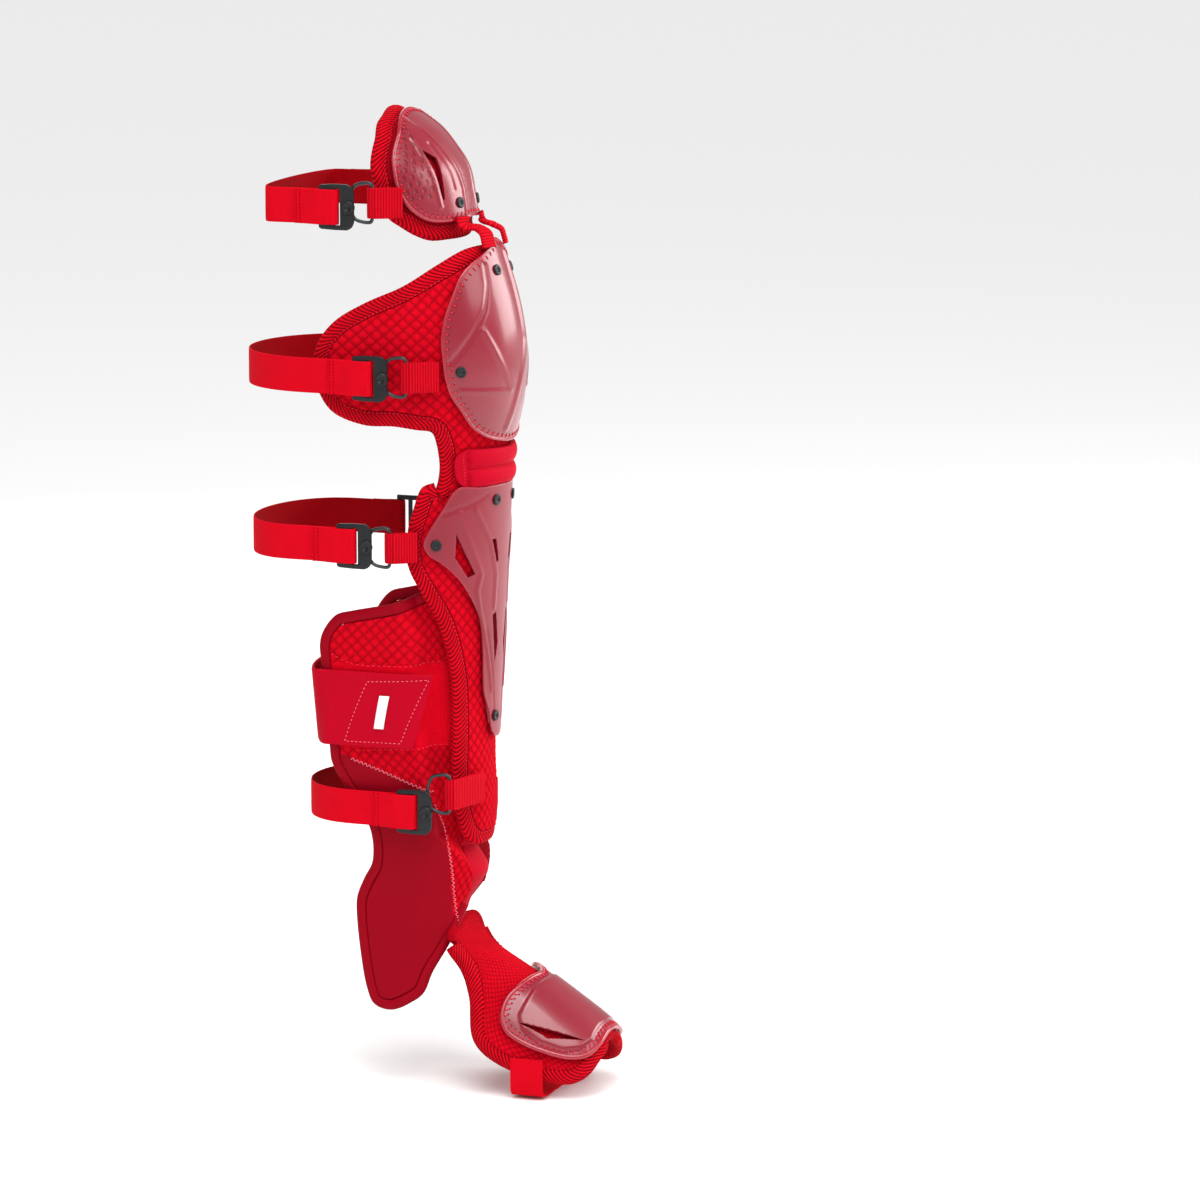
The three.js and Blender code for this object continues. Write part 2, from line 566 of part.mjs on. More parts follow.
// The shell's rows run along the foot, because its top edge dips between two lobes.
const alongFoot = (place, turn, depth) => onFoot(turn, place, depth);
alongFoot.levels = [-54, -42, -30, -18, -6, 6, 18, 30, 42, 54];
const toeOutline = smooth(onFoot, TOE_SHELL_EDGE, 26, true).map(([turn, place]) => [place, turn]);
const toeBody = panel(alongFoot, toeOutline, TOE_SEAT + SHELL_THICK, TOE_SEAT, 9);
const toeDarts = bothSides([[57, 4.1], [57, 4.9], [41, 6]]).map((corners) => windowCut(onFoot, corners));
add('toe_shell', cut(toeBody, ...toeDarts), 'shell');

// Strap sets. Each has a hook and ring on the outer side, and a slider on the inner side.
// Heights are hundredths of LEG_LENGTH, turns of the two tabs are in degrees, and the rest are shares of
// the knee half width: the strap's half width, its hook, slider and rearmost point behind the leg's axis.
const STRAPS = [
  { name: 'thigh', up: 63.3, tabUp: 64.2, turn: 62, farTurn: 62, wide: 1, hook: 0.446, slider: 0.708, back: 1.646 },
  { name: 'knee', up: 32.8, tabUp: 33.2, turn: 65, farTurn: 65, wide: 1.077, hook: 0.03, slider: 0.09, back: 2.046 },
  { name: 'shin', up: 2, tabUp: 1.9, turn: 77, farTurn: 77, wide: 1, hook: 0.262, slider: 0.462, back: 1.985 },
  { name: 'ankle', up: -46.8, tabUp: -43.2, turn: 24, farTurn: 45, wide: 0.83, hook: -0.37, slider: -0.22, back: 1.35 },
];
const RING_OVERLAP = 4;
const FOLD = (HOOK_THICK + STRAP_THICK) / 2 + GAP;
const TAB_FOLD = (RING_WIRE + TAB_THICK) / 2 + GAP;
const SLIDER_LENGTH = 3 * SLIDER_BAR + 2 * SLOT_LENGTH;
const SLOT_HEIGHT = STRAP_WIDTH + 2 * GAP;
const PLATE_HEIGHT = SLOT_HEIGHT + 2 * HOOK_ARM;

// A half turn of a strap around a bar, in plan: u runs back along the strap, v outwards.
function turnBack(u, v, radius, facing) {
  return Array.from({ length: 5 }, (_, i) => {
    const angle = (i / 4) * Math.PI;
    return [u - facing * Math.sin(angle) * radius, v + Math.cos(angle) * radius];
  });
}

// The sewn end of a strap: out along the face, round the bar and back behind it.
function sewnEnd(plateLength, bar) {
  const u = plateLength - bar;
  return [
    [plateLength + STRAP_FOLD, STRAP_THICK + GAP - FOLD], [plateLength + 1, FOLD],
    ...turnBack(u, 0, FOLD, 1),
    [plateLength + 1, -FOLD], [plateLength + STRAP_FOLD, -FOLD],
  ];
}

const inPlan = (x, y, side) => ([u, v]) => new THREE.Vector2(side * (x + v), y + u);

function hookPlate() {
  const shape = new THREE.Shape();
  const [tall, neck] = [PLATE_HEIGHT / 2, PLATE_HEIGHT / 4];
  const [flare, broad] = [HOOK_LENGTH * 0.35, HOOK_LENGTH * 0.5];
  shape.moveTo(0, -neck).lineTo(flare, -neck).lineTo(broad, -tall);
  shape.lineTo(HOOK_LENGTH, -tall).lineTo(HOOK_LENGTH, tall).lineTo(broad, tall);
  shape.lineTo(flare, neck).lineTo(0, neck);
  shape.holes.push(slot(HOOK_LENGTH - HOOK_BAR - SLOT_LENGTH));
  const plate = new THREE.ExtrudeGeometry(shape, { depth: HOOK_THICK, bevelEnabled: false });
  return plate.translate(0, 0, -HOOK_THICK / 2);
}

function slot(start) {
  const hole = new THREE.Path();
  hole.moveTo(start, -SLOT_HEIGHT / 2).lineTo(start, SLOT_HEIGHT / 2);
  hole.lineTo(start + SLOT_LENGTH, SLOT_HEIGHT / 2).lineTo(start + SLOT_LENGTH, -SLOT_HEIGHT / 2);
  return hole;
}

function sliderPlate() {
  const plate = new THREE.BoxGeometry(SLIDER_LENGTH, PLATE_HEIGHT, HOOK_THICK);
  const shift = (SLIDER_BAR + SLOT_LENGTH) / 2;
  const opening = new THREE.BoxGeometry(SLOT_LENGTH, SLOT_HEIGHT, 2 * HOOK_THICK);
  const cutters = [-shift, shift].map((u) => opening.clone().translate(u, 0, 0));
  return cut(plate, ...cutters).translate(SLIDER_LENGTH / 2, 0, 0);
}

// Turns a plate drawn in (u, height) so that u runs along +Y, and its face looks sideways.
function standUp(geometry, side, x, y, z) {
  const basis = new THREE.Matrix4().makeBasis(
    new THREE.Vector3(0, 1, 0), new THREE.Vector3(0, 0, 1), new THREE.Vector3(1, 0, 0),
  );
  return geometry.applyMatrix4(basis).translate(side * x, y, z);
}

// A wire ring: a straight bar at its front and a rounded rear.
function ringWire() {
  const [half, tall] = [RING_LENGTH / 2, (RING_HEIGHT - RING_WIRE) / 2];
  const upper = [[-1, 0.8], [-0.85, 1], [0, 1], [0.6, 0.85], [0.93, 0.45]];
  const lower = upper.map(([y, z]) => [y, -z]).reverse();
  const around = [[-1, 0], ...upper, [1, 0], ...lower];
  const centres = around.map(([y, z]) => new THREE.Vector3(0, y * half, z * tall));
  const count = centres.length;
  const sections = centres.map((centre, index) => {
    const [before, after] = [centres[(index + count - 1) % count], centres[(index + 1) % count]];
    const tangent = after.clone().sub(before).normalize();
    const across = new THREE.Vector3(1, 0, 0).cross(tangent);
    return Array.from({ length: 6 }, (_, side) => {
      const angle = (side / 6) * Math.PI * 2;
      return centre.clone()
        .addScaledVector(across, (Math.cos(angle) * RING_WIRE) / 2)
        .add(new THREE.Vector3((Math.sin(angle) * RING_WIRE) / 2, 0, 0));
    });
  });
  return new LoftGeometry([...sections, sections[0]], { closed: true });
}

// A webbing tab in plan: from its sewn front end to a bar, round it, and back under itself.
function tabPath(form, turn, up, seat, barX, barY, side) {
  const skin = (lift) => {
    const spot = form(turn, up, seat + lift);
    return new THREE.Vector2(side * Math.abs(spot.x), spot.y);
  };
  const under = GAP + TAB_THICK / 2;
  const place = inPlan(barX, barY, side);
  return [
    skin(under + TAB_THICK + GAP), place([-TAB_FOLD * 1.5, TAB_FOLD]),
    ...turnBack(0, 0, TAB_FOLD, -1).map(place),
    place([-TAB_FOLD * 1.5, -TAB_FOLD]), skin(under),
  ];
}

for (const { name, up, tabUp, turn, farTurn, wide, hook, slider, back } of STRAPS) {
  const [half, hookY, sliderY, backY] = [wide, hook, slider, back].map((share) => share * KNEE_HALF_WIDTH);
  const [form, seat] = name === 'thigh' ? [onThigh, 0] : [onLeg, PAD_OUTER + GAP];
  const plateX = half + FOLD;
  const near = inPlan(plateX, hookY, -1);
  const far = inPlan(plateX, sliderY, 1);
  const bendY = Math.max(hookY + HOOK_LENGTH, sliderY + SLIDER_LENGTH) + STRAP_FOLD * 1.4;
  const rear = Array.from({ length: 15 }, (_, i) => {
    const angle = (i / 14) * Math.PI;
    return new THREE.Vector2(-half * Math.cos(angle), bendY + (backY - bendY) * Math.sin(angle) ** 0.8);
  });
  const path = [
    ...sewnEnd(HOOK_LENGTH, HOOK_BAR).map(near), ...rear,
    ...sewnEnd(SLIDER_LENGTH, SLIDER_BAR).map(far).reverse(),
  ];
  const [middle, tabMiddle] = [at(up), at(tabUp)];
  const strap = ribbon(path, () => middle - STRAP_WIDTH / 2, () => middle + STRAP_WIDTH / 2, STRAP_THICK);
  add(`${name}_strap`, strap, 'webbing');
  add(`${name}_hook`, standUp(hookPlate(), -1, plateX, hookY, middle), 'hardware');
  add(`${name}_slider`, standUp(sliderPlate(), 1, plateX, sliderY, middle), 'hardware');

  const ringX = plateX - (HOOK_THICK + RING_WIRE) / 2 - GAP;
  const ringY = hookY + RING_OVERLAP - RING_LENGTH / 2;
  add(`${name}_ring`, ringWire().translate(-ringX, ringY, tabMiddle), 'wire');
  const [low, high] = [() => tabMiddle - TAB_WIDTH / 2, () => tabMiddle + TAB_WIDTH / 2];
  const ringBar = ringY - RING_LENGTH / 2;
  const outerTab = tabPath(form, turn, tabUp, seat, ringX, ringBar, -1);
  add(`${name}_tab_outer`, ribbon(outerTab, low, high, TAB_THICK), 'webbing');
  const innerTab = tabPath(form, farTurn, up, seat, plateX, sliderY + SLIDER_BAR, 1);
  const [farLow, farHigh] = [() => middle - TAB_WIDTH / 2, () => middle + TAB_WIDTH / 2];
  add(`${name}_tab_inner`, ribbon(innerTab, farLow, farHigh, TAB_THICK), 'webbing');
}

// The wide band that closes the calf wings behind the leg, with a raised mark on its outer end.
// Heights are hundredths of LEG_LENGTH, turns are in degrees, back is a share of the knee half width.
const BAND = { low: -35.5, high: -21.5, start: 62, slant: 16, end: 100, back: 1.246 };
const BAND_TURNS = [76, 86, 100, 120, 136, 145];
const bandWay = (turn, up) => {
  const spot = onLeg(turn, up, BAND_DEPTH + BAND_THICK / 2);
  return new THREE.Vector2(spot.x, spot.y);
};
function bandPath(start, up) {
  const near = [start, ...BAND_TURNS.filter((turn) => turn > start)].map((turn) => bandWay(turn, up));
  const far = [...BAND_TURNS.filter((turn) => turn > BAND.end), BAND.end].sort((a, b) => b - a);
  const rear = new THREE.Vector2(0, BAND.back * KNEE_HALF_WIDTH);
  const knots = [...near, rear, ...far.map((turn) => bandWay(-turn, up))];
  return new THREE.SplineCurve(knots).getSpacedPoints(26);
}
function bandBody() {
  const highPath = bandPath(BAND.start, BAND.high);
  const lowPath = bandPath(BAND.start + BAND.slant, BAND.low);
  const sections = highPath.map((high, index) => {
    const ends = [[highPath, BAND.high], [lowPath, BAND.low]].map(([path, up]) => {
      const [before, after] = [path[Math.max(index - 1, 0)], path[Math.min(index + 1, path.length - 1)]];
      const tangent = after.clone().sub(before).normalize();
      const out = new THREE.Vector2(-tangent.y, tangent.x).multiplyScalar(BAND_THICK / 2);
      return [1, -1].map((sign) => {
        const spot = path[index].clone().addScaledVector(out, sign);
        return new THREE.Vector3(spot.x, spot.y, at(up));
      });
    });
    return [ends[1][0], ends[0][0], ends[0][1], ends[1][1]];
  });
  return new LoftGeometry(sections, { capStart: true, capEnd: true });
}
add('calf_band', bandBody(), 'webbing');
const badgeDepth = BAND_DEPTH + BAND_THICK + 2 * GAP;
const badgeEdge = [[90, -26], [97, -26], [103, -31.5], [96, -31.5]];
add('band_badge', panel(onLeg, badgeEdge, badgeDepth + BADGE_THICK, badgeDepth, 2), 'white');

// Short webbing links between the thigh cup and the knee, one on each side of the front.
for (const [name, turn] of [['link_outer', 17], ['link_inner', -17]]) {
  const lift = GAP / 4 + TAB_THICK / 2;
  const knots = [
    onThigh(turn, 60.2, lift), onThigh(turn, 58.8, lift), onLeg(turn, 57.7, lift - 9),
    onLeg(turn, 57.5, lift - 2), onLeg(turn, 56.4, lift + 0.4), onLeg(turn, 55.9, lift + 0.2),
  ];
  const points = new THREE.CatmullRomCurve3(knots).getSpacedPoints(8);
  const out = new THREE.Vector3(-Math.sin(degToRad(turn)), -Math.cos(degToRad(turn)), 0);
  add(name, strip(points, points.map(() => out), LINK_WIDTH, TAB_THICK), 'webbing');
}

// The elastic band that passes under the sole between the two edges of the toe hood, at a row of it.
const SOLE_ROW = 4.6;
const soleHalf = Math.abs(onFoot(90, SOLE_ROW).x) + GAP + STRAP_THICK / 2;
const soleLow = at(-96) - LOOP_DROP;
const soleKnots = [[-1, at(-91.5)], [-1, at(-95)], [-0.97, soleLow + 2], [-0.88, soleLow], [0, soleLow]];
const soleRun = [...soleKnots, ...soleKnots.slice(0, -1).reverse().map(([x, z]) => [-x, z])];
const solePoints = soleRun.map(([x, z]) => new THREE.Vector3(x * soleHalf, onFoot(90, SOLE_ROW).y, z));
const soleOuts = soleRun.map(([x]) => {
  const upright = Math.abs(x) > 0.9;
  return upright ? new THREE.Vector3(Math.sign(x), 0, 0) : new THREE.Vector3(0, 0, -1);
});
add('sole_band', strip(solePoints, soleOuts, STRAP_WIDTH, STRAP_THICK), 'webbing');

// The dark mesh that lines the knee wrap.
const liningRun = smooth(onLeg, mirrored(KNEE_EDGE), 26, false);
const liningOutline = shifted(onLeg, liningRun, BINDING_WIDTH + 2 * SEAM_GAP, false);
add('knee_lining', panel(onLeg, liningOutline, LINING_OUTER, LINING_OUTER - LINING_THICK, 12), 'lining');

export default meshes;
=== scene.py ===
"""A catcher's guard for the right leg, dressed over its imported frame. Metres throughout."""
import math

import bmesh
import bpy
from mathutils import Matrix, Vector


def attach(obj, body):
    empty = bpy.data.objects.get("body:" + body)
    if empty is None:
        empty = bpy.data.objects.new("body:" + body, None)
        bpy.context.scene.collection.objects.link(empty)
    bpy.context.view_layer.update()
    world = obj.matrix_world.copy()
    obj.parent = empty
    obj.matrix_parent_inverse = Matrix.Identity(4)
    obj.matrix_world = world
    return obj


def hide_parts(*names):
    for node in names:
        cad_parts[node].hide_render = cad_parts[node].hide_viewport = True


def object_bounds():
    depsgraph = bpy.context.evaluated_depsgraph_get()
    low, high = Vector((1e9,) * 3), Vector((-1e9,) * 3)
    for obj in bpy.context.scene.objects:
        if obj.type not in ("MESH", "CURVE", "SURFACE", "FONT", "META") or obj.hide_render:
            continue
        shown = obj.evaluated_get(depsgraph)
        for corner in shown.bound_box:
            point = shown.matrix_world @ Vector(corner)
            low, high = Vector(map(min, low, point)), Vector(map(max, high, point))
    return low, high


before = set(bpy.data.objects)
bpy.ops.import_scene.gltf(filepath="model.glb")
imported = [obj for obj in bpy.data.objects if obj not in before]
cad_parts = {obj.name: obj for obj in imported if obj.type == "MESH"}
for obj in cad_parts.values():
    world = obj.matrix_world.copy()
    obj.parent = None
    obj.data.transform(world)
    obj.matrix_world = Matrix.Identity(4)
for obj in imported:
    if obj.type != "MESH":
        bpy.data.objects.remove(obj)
cad_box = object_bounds()
MM = 0.001

# Driving sizes of the guard, in metres.
LEG_LENGTH = 400 * MM
KNEE_HALF_WIDTH, KNEE_HALF_DEPTH, KNEE_FRONT = 65 * MM, 72 * MM, 74 * MM
THIGH_HALF_WIDTH, THIGH_HALF_DEPTH, THIGH_FRONT = 61 * MM, 60 * MM, 36 * MM
FOOT_HALF_WIDTH = 50 * MM
PAD_THICK, SHELL_THICK, SHELL_SEAT, TOE_SEAT = 9 * MM, 2.6 * MM, 1.5 * MM, 1.1 * MM
BINDING_WIDTH, BINDING_THICK = 13 * MM, 10 * MM
WING_BINDING_WIDTH, WING_BINDING_THICK, WING_THICK = 8.5 * MM, 7 * MM, 5 * MM
STRAP_WIDTH, STRAP_THICK, STRAP_FOLD = 25.4 * MM, 1.7 * MM, 19 * MM
TAB_WIDTH, TAB_THICK, LINK_WIDTH, BAND_THICK = 22 * MM, 2.2 * MM, 14 * MM, 2.4 * MM
RING_WIRE, RING_LENGTH, RING_HEIGHT, RING_OVERLAP = 2.6 * MM, 17 * MM, 30 * MM, 4 * MM
HOOK_THICK, HOOK_LENGTH, HOOK_ARM, HOOK_BAR, HOOK_SLOT = 2.4 * MM, 27 * MM, 3.4 * MM, 12 * MM, 4.5 * MM
SLOT_LENGTH, SLIDER_BAR = 6 * MM, 3 * MM
GAP = 0.4 * MM
PAD_OUTER = -SHELL_THICK - SHELL_SEAT
PAD_INNER = PAD_OUTER - PAD_THICK
BINDING_DEPTH = PAD_OUTER - BINDING_THICK / 2
UNDER_PAD = BINDING_DEPTH - BINDING_THICK / 2 - 1.25 * MM
WING_OUTER = -1 * MM
BAND_DEPTH = 0.9 * MM
CUFF_RISE = 4 * MM
LINING_OUTER = PAD_INNER - SHELL_SEAT - 5 * GAP
LINING_THICK = 1.2 * MM
MARK_RADIUS = 0.058  # Metres of cloth for each radian of turn, on the flat patterns of the leg.
FOOT_PLACE = 24 * MM
STITCH_SHARE = 0.62
QUILT_WIDE, QUILT_TALL, QUILT_RISE = 8.6 * MM, 9 * MM, 0.9 * MM

# Sections of the leg and the thigh cup: up in hundredths of the leg's length, then front, wide and
# deep as shares of the knee or of the thigh.
LEG_ROWS = [
    (-87.5, 0.405, 0.585, 0.585), (-65, 0.54, 0.615, 0.585), (-57.5, 0.65, 0.645, 0.64),
    (-50, 0.745, 0.69, 0.695), (-37.5, 0.73, 0.77, 0.805), (-25, 0.745, 0.83, 0.86),
    (-15, 0.77, 0.86, 0.86), (0, 0.81, 0.89, 0.83), (13.75, 0.85, 0.89, 0.85),
    (18.75, 0.865, 0.94, 0.89), (27.5, 0.97, 0.985, 0.985), (36.25, 1.0, 1.0, 1.0),
    (45, 0.93, 0.97, 0.94), (54.5, 0.77, 0.86, 0.81), (58.75, 0.68, 0.77, 0.72),
]
THIGH_ROWS = [
    (56.25, 1.0, 0.95, 0.97), (61.25, 1.0, 0.98, 0.98), (64.5, 0.95, 1.0, 1.0), (69, 0.83, 1.0, 1.0),
    (72, 0.63, 0.98, 1.0), (76, 0.25, 0.89, 0.92), (78.25, -0.1, 0.8, 0.83),
    (79.75, -0.36, 0.74, 0.78), (81, -0.56, 0.67, 0.72), (82, -0.78, 0.62, 0.67),
]
# Arches of the toe hood: place, crest and edge as (y, up), and wide as a share of the foot.
FOOT_ROWS = [
    (0, -7.4, -67.6, -7.2, -72.7, 0.72), (1, -9, -71.5, -9.5, -76.2, 0.72),
    (2, -12.7, -74, -11.5, -82, 0.8), (3, -17.8, -76.8, -12.8, -89, 0.96),
    (4, -22, -79.2, -18, -93.2, 1.0), (5, -27.5, -82.8, -27.5, -96, 0.94),
    (6, -33, -86.5, -33.8, -95.8, 0.76), (7, -36.5, -89, -37.2, -92.5, 0.36),
]

# Outlines as (turn, up), turn in degrees from the front towards the outer side.
THIGH_EDGE = [
    (0, 81.5), (20, 81), (47, 78.75), (64, 75.25), (74, 71.75), (79, 69.25), (79, 65.5),
    (75, 61.25), (64, 59.25), (53, 57.75), (40, 56.75), (22, 56.75), (0, 56.75),
]
THIGH_SHELL_EDGE = [
    (0, 80), (31, 78.25), (52, 74.25), (61, 70.75), (64, 67.75), (62, 65.25), (57, 62.75),
    (46, 60.75), (30, 60.25), (11, 60.5), (0, 60.75),
]
KNEE_EDGE = [
    (0, 56.5), (33, 56), (59, 53.5), (87, 49.5), (114, 46), (132, 42.5), (142, 38), (143, 32.5),
    (140, 29), (132, 25.5), (113, 23.5), (93, 23.5), (78, 23), (67, 22.5), (62, 20), (60, 17), (62, 14),
    (65, 11.6),
]
KNEE_SHELL_EDGE = [
    (0, 57), (11, 56), (24, 54.5), (36, 53), (46, 51), (54, 47.5), (60, 44), (63, 40.5), (63, 36.5),
    (61, 32.5), (57, 29.5), (51, 27), (41, 23.5), (28, 21.5), (12, 20.5), (0, 20.25),
]
CUFF_EDGE = [
    (0, 19.2), (30, 19.4), (43, 19.4), (50, 18.2), (51, 14.5), (46, 12.9), (38, 12.7), (0, 12.7),
]
SHIN_SHELL_EDGE = [
    (0, 12.5), (32, 12.5), (50, 12.5), (61, 8.5), (69, 5), (73, 2.5), (69, 0.5), (60, -1), (47, -4),
    (38, -7), (27, -12), (23, -17), (21, -24), (20, -26), (14, -29.5), (9, -33.5), (0, -34.5),
]
SHIN_EDGE = [
    (66, 13.4), (75, 12.6), (82, 8.5), (86, 4.5), (85, -1.5), (74, -6.5), (60, -12), (52, -17),
    (46, -23.5), (45, -30), (46, -36), (48, -39.5), (50, -47.5), (43, -52), (28, -54.5), (0, -55),
]
WING_EDGE = [
    (70, -7), (97, -9), (122, -10.5), (134, -11.5), (142, -14.5), (144, -17), (142, -21.5),
    (143, -35.5), (145, -39), (144, -41.5), (139, -46.5), (131, -51.5), (129, -57.5), (138, -61),
    (145, -64.5), (144, -68), (135, -76), (126, -81.5), (117, -84.5), (98, -85.5), (78, -84),
    (64, -82), (56, -78), (42, -73.6), (30, -69.8), (19, -66),
]
INNER_WING_EDGE = WING_EDGE[:13] + [
    (133, -62.5), (131, -68.5), (122, -73.5), (106, -75.5), (88, -74), (72, -71), (58, -68),
    (44, -65.5), (30, -63.5),
]
WING_FRONT_SEWN = [(21, -62.5), (24, -59), (28, -55.5), (34, -51), (39, -42), (40, -30), (44, -14)]
WING_TUCK = [(-90, 0), (-61, 0), (-57, 20), (-52, 55), (-15, 62), (-5, 84)]
ANKLE_EDGE = [
    (0, -48), (22, -48), (32, -52), (28, -57), (23, -61), (18, -65.5), (13, -67.6), (0, -67.8),
]
FOOT_EDGE = [
    (90, 0.1), (90, 1), (90, 2), (90, 3), (90, 4), (90, 5), (88, 5.8), (80, 6.45), (60, 6.9), (30, 7),
    (0, 7),
]
TOE_SHELL_EDGE = [
    (0, 3.85), (18, 3.7), (32, 3.55), (45, 3.45), (56, 3.55), (64, 3.85), (67, 4.3), (67, 5.1), (65, 5.7),
    (60, 6.15), (46, 6.5), (20, 6.65), (-20, 6.65), (-46, 6.5), (-60, 6.15), (-65, 5.7), (-67, 5),
    (-67, 4.1), (-64, 3.7), (-58, 3.3), (-46, 3.05), (-32, 3.1), (-14, 3.55),
]
# Straps: up and tab up in hundredths, turns of the tabs, then shares of the knee's half width.
STRAPS = {
    "thigh": (63.3, 64.2, 62, 62, 1, 0.446, 0.708, 1.646),
    "knee": (32.8, 33.2, 65, 65, 1.077, 0.03, 0.09, 2.046),
    "shin": (2, 1.9, 77, 77, 1, 0.262, 0.462, 1.985),
    "ankle": (-46.8, -43.2, 24, 45, 0.83, -0.37, -0.22, 1.35),
}
RIVETS = {
    "thigh": [(16, 63.5), (-16, 63.5)],
    "knee": [(13, 51.5), (-13, 51.5), (52, 34), (-52, 34)],
    "shin": [(16, 9.8), (-16, 9.8), (64, 2.3), (-64, 2.3), (6, -30.5)],
}


def lerp(a, b, share):
    return a + (b - a) * share


def clamp(value, low=0.0, high=1.0):
    return min(max(value, low), high)


def ease(share):
    share = clamp(share)
    return share * share * (3 - 2 * share)


# ---- The camera, the floor and the studio light ----

def studio():
    azimuth, elevation, distance = math.radians(-70), math.radians(10), 4.5
    level = math.cos(elevation)
    back = Vector((math.sin(azimuth) * level, -math.cos(azimuth) * level, math.sin(elevation)))
    right = Vector((math.cos(azimuth), math.sin(azimuth), 0))
    rise = back.cross(right)
    target = right * 0.12556 - rise * 0.04015
    data = bpy.data.cameras.new("camera")
    data.lens, data.sensor_width = 184.9, 36
    eye = bpy.data.objects.new("camera", data)
    bpy.context.collection.objects.link(eye)
    turned = Matrix((right, rise, back)).transposed().to_4x4()
    eye.matrix_world = Matrix.Translation(target + back * distance) @ turned
    bpy.context.scene.camera = eye

    bm = bmesh.new()
    bmesh.ops.create_grid(bm, x_segments=1, y_segments=1, size=30)
    bmesh.ops.translate(bm, verts=bm.verts, vec=(0, 0, cad_box[0].z - 0.002))
    mesh = bpy.data.meshes.new("floor")
    bm.to_mesh(mesh)
    floor = bpy.data.objects.new("floor", mesh)
    bpy.context.collection.objects.link(floor)
    look = Look("floor_white")
    look.set(base=(0.98, 0.98, 0.98), rough=0.9)
    mesh.materials.append(look.material)

    for name, place, size, power in (
        ("key", (1.5, -1.9, 0.9), 1.5, 44), ("soft", (-0.3, -2.3, 1.3), 1.2, 14),
        ("side", (-2.2, 0.2, 1.3), 1.2, 9), ("top", (-0.5, -0.3, 2.3), 1.2, 18),
        ("rim", (1.9, 1.2, 0.9), 1.3, 8),
    ):
        lamp = bpy.data.lights.new(name, "AREA")
        lamp.energy, lamp.size = power, size
        light = bpy.data.objects.new(name, lamp)
        light.location = place
        light.rotation_euler = (Vector((0, 0, -0.05)) - Vector(place)).to_track_quat("-Z", "Y").to_euler()
        bpy.context.collection.objects.link(light)
    sun = bpy.data.lights.new("even", "SUN")
    sun.energy, sun.angle = 1.6, math.radians(40)
    light = bpy.data.objects.new("even", sun)
    light.rotation_euler = Vector((1.1, 0.5, -1.9)).to_track_quat("-Z", "Y").to_euler()
    bpy.context.collection.objects.link(light)
    world = bpy.data.worlds.new("studio")
    world.use_nodes = True
    world.node_tree.nodes["Background"].inputs["Color"].default_value = (1, 1, 1, 1)
    world.node_tree.nodes["Background"].inputs["Strength"].default_value = 0.44
    bpy.context.scene.world = world
    bpy.context.scene.view_settings.view_transform = "Standard"


# ---- Shader maths ----

class Signal:
    """A shader value that can be added, multiplied and compared like a number."""

    def __init__(self, look, socket):
        self.look, self.socket = look, socket

    def maths(self, operation, *values):
        return self.look.node("ShaderNodeMath", {"operation": operation}, dict(enumerate(values)))

    def __add__(self, other):
        return self.maths("ADD", self, other)

    __radd__ = __add__

    def __sub__(self, other):
        return self.maths("SUBTRACT", self, other)

    def __rsub__(self, other):
        return self.maths("SUBTRACT", other, self)

    def __mul__(self, other):
        return self.maths("MULTIPLY", self, other)

    __rmul__ = __mul__

    def __truediv__(self, other):
        return self.maths("DIVIDE", self, other)

    def __gt__(self, other):
        return self.maths("GREATER_THAN", self, other)

    def __lt__(self, other):
        return self.maths("LESS_THAN", self, other)

    def __abs__(self):
        return self.maths("ABSOLUTE", self)

    def sin(self):
        return self.maths("SINE", self)

    def power(self, other):
        return self.maths("POWER", self, other)

    def most(self, other):
        return self.maths("MAXIMUM", self, other)


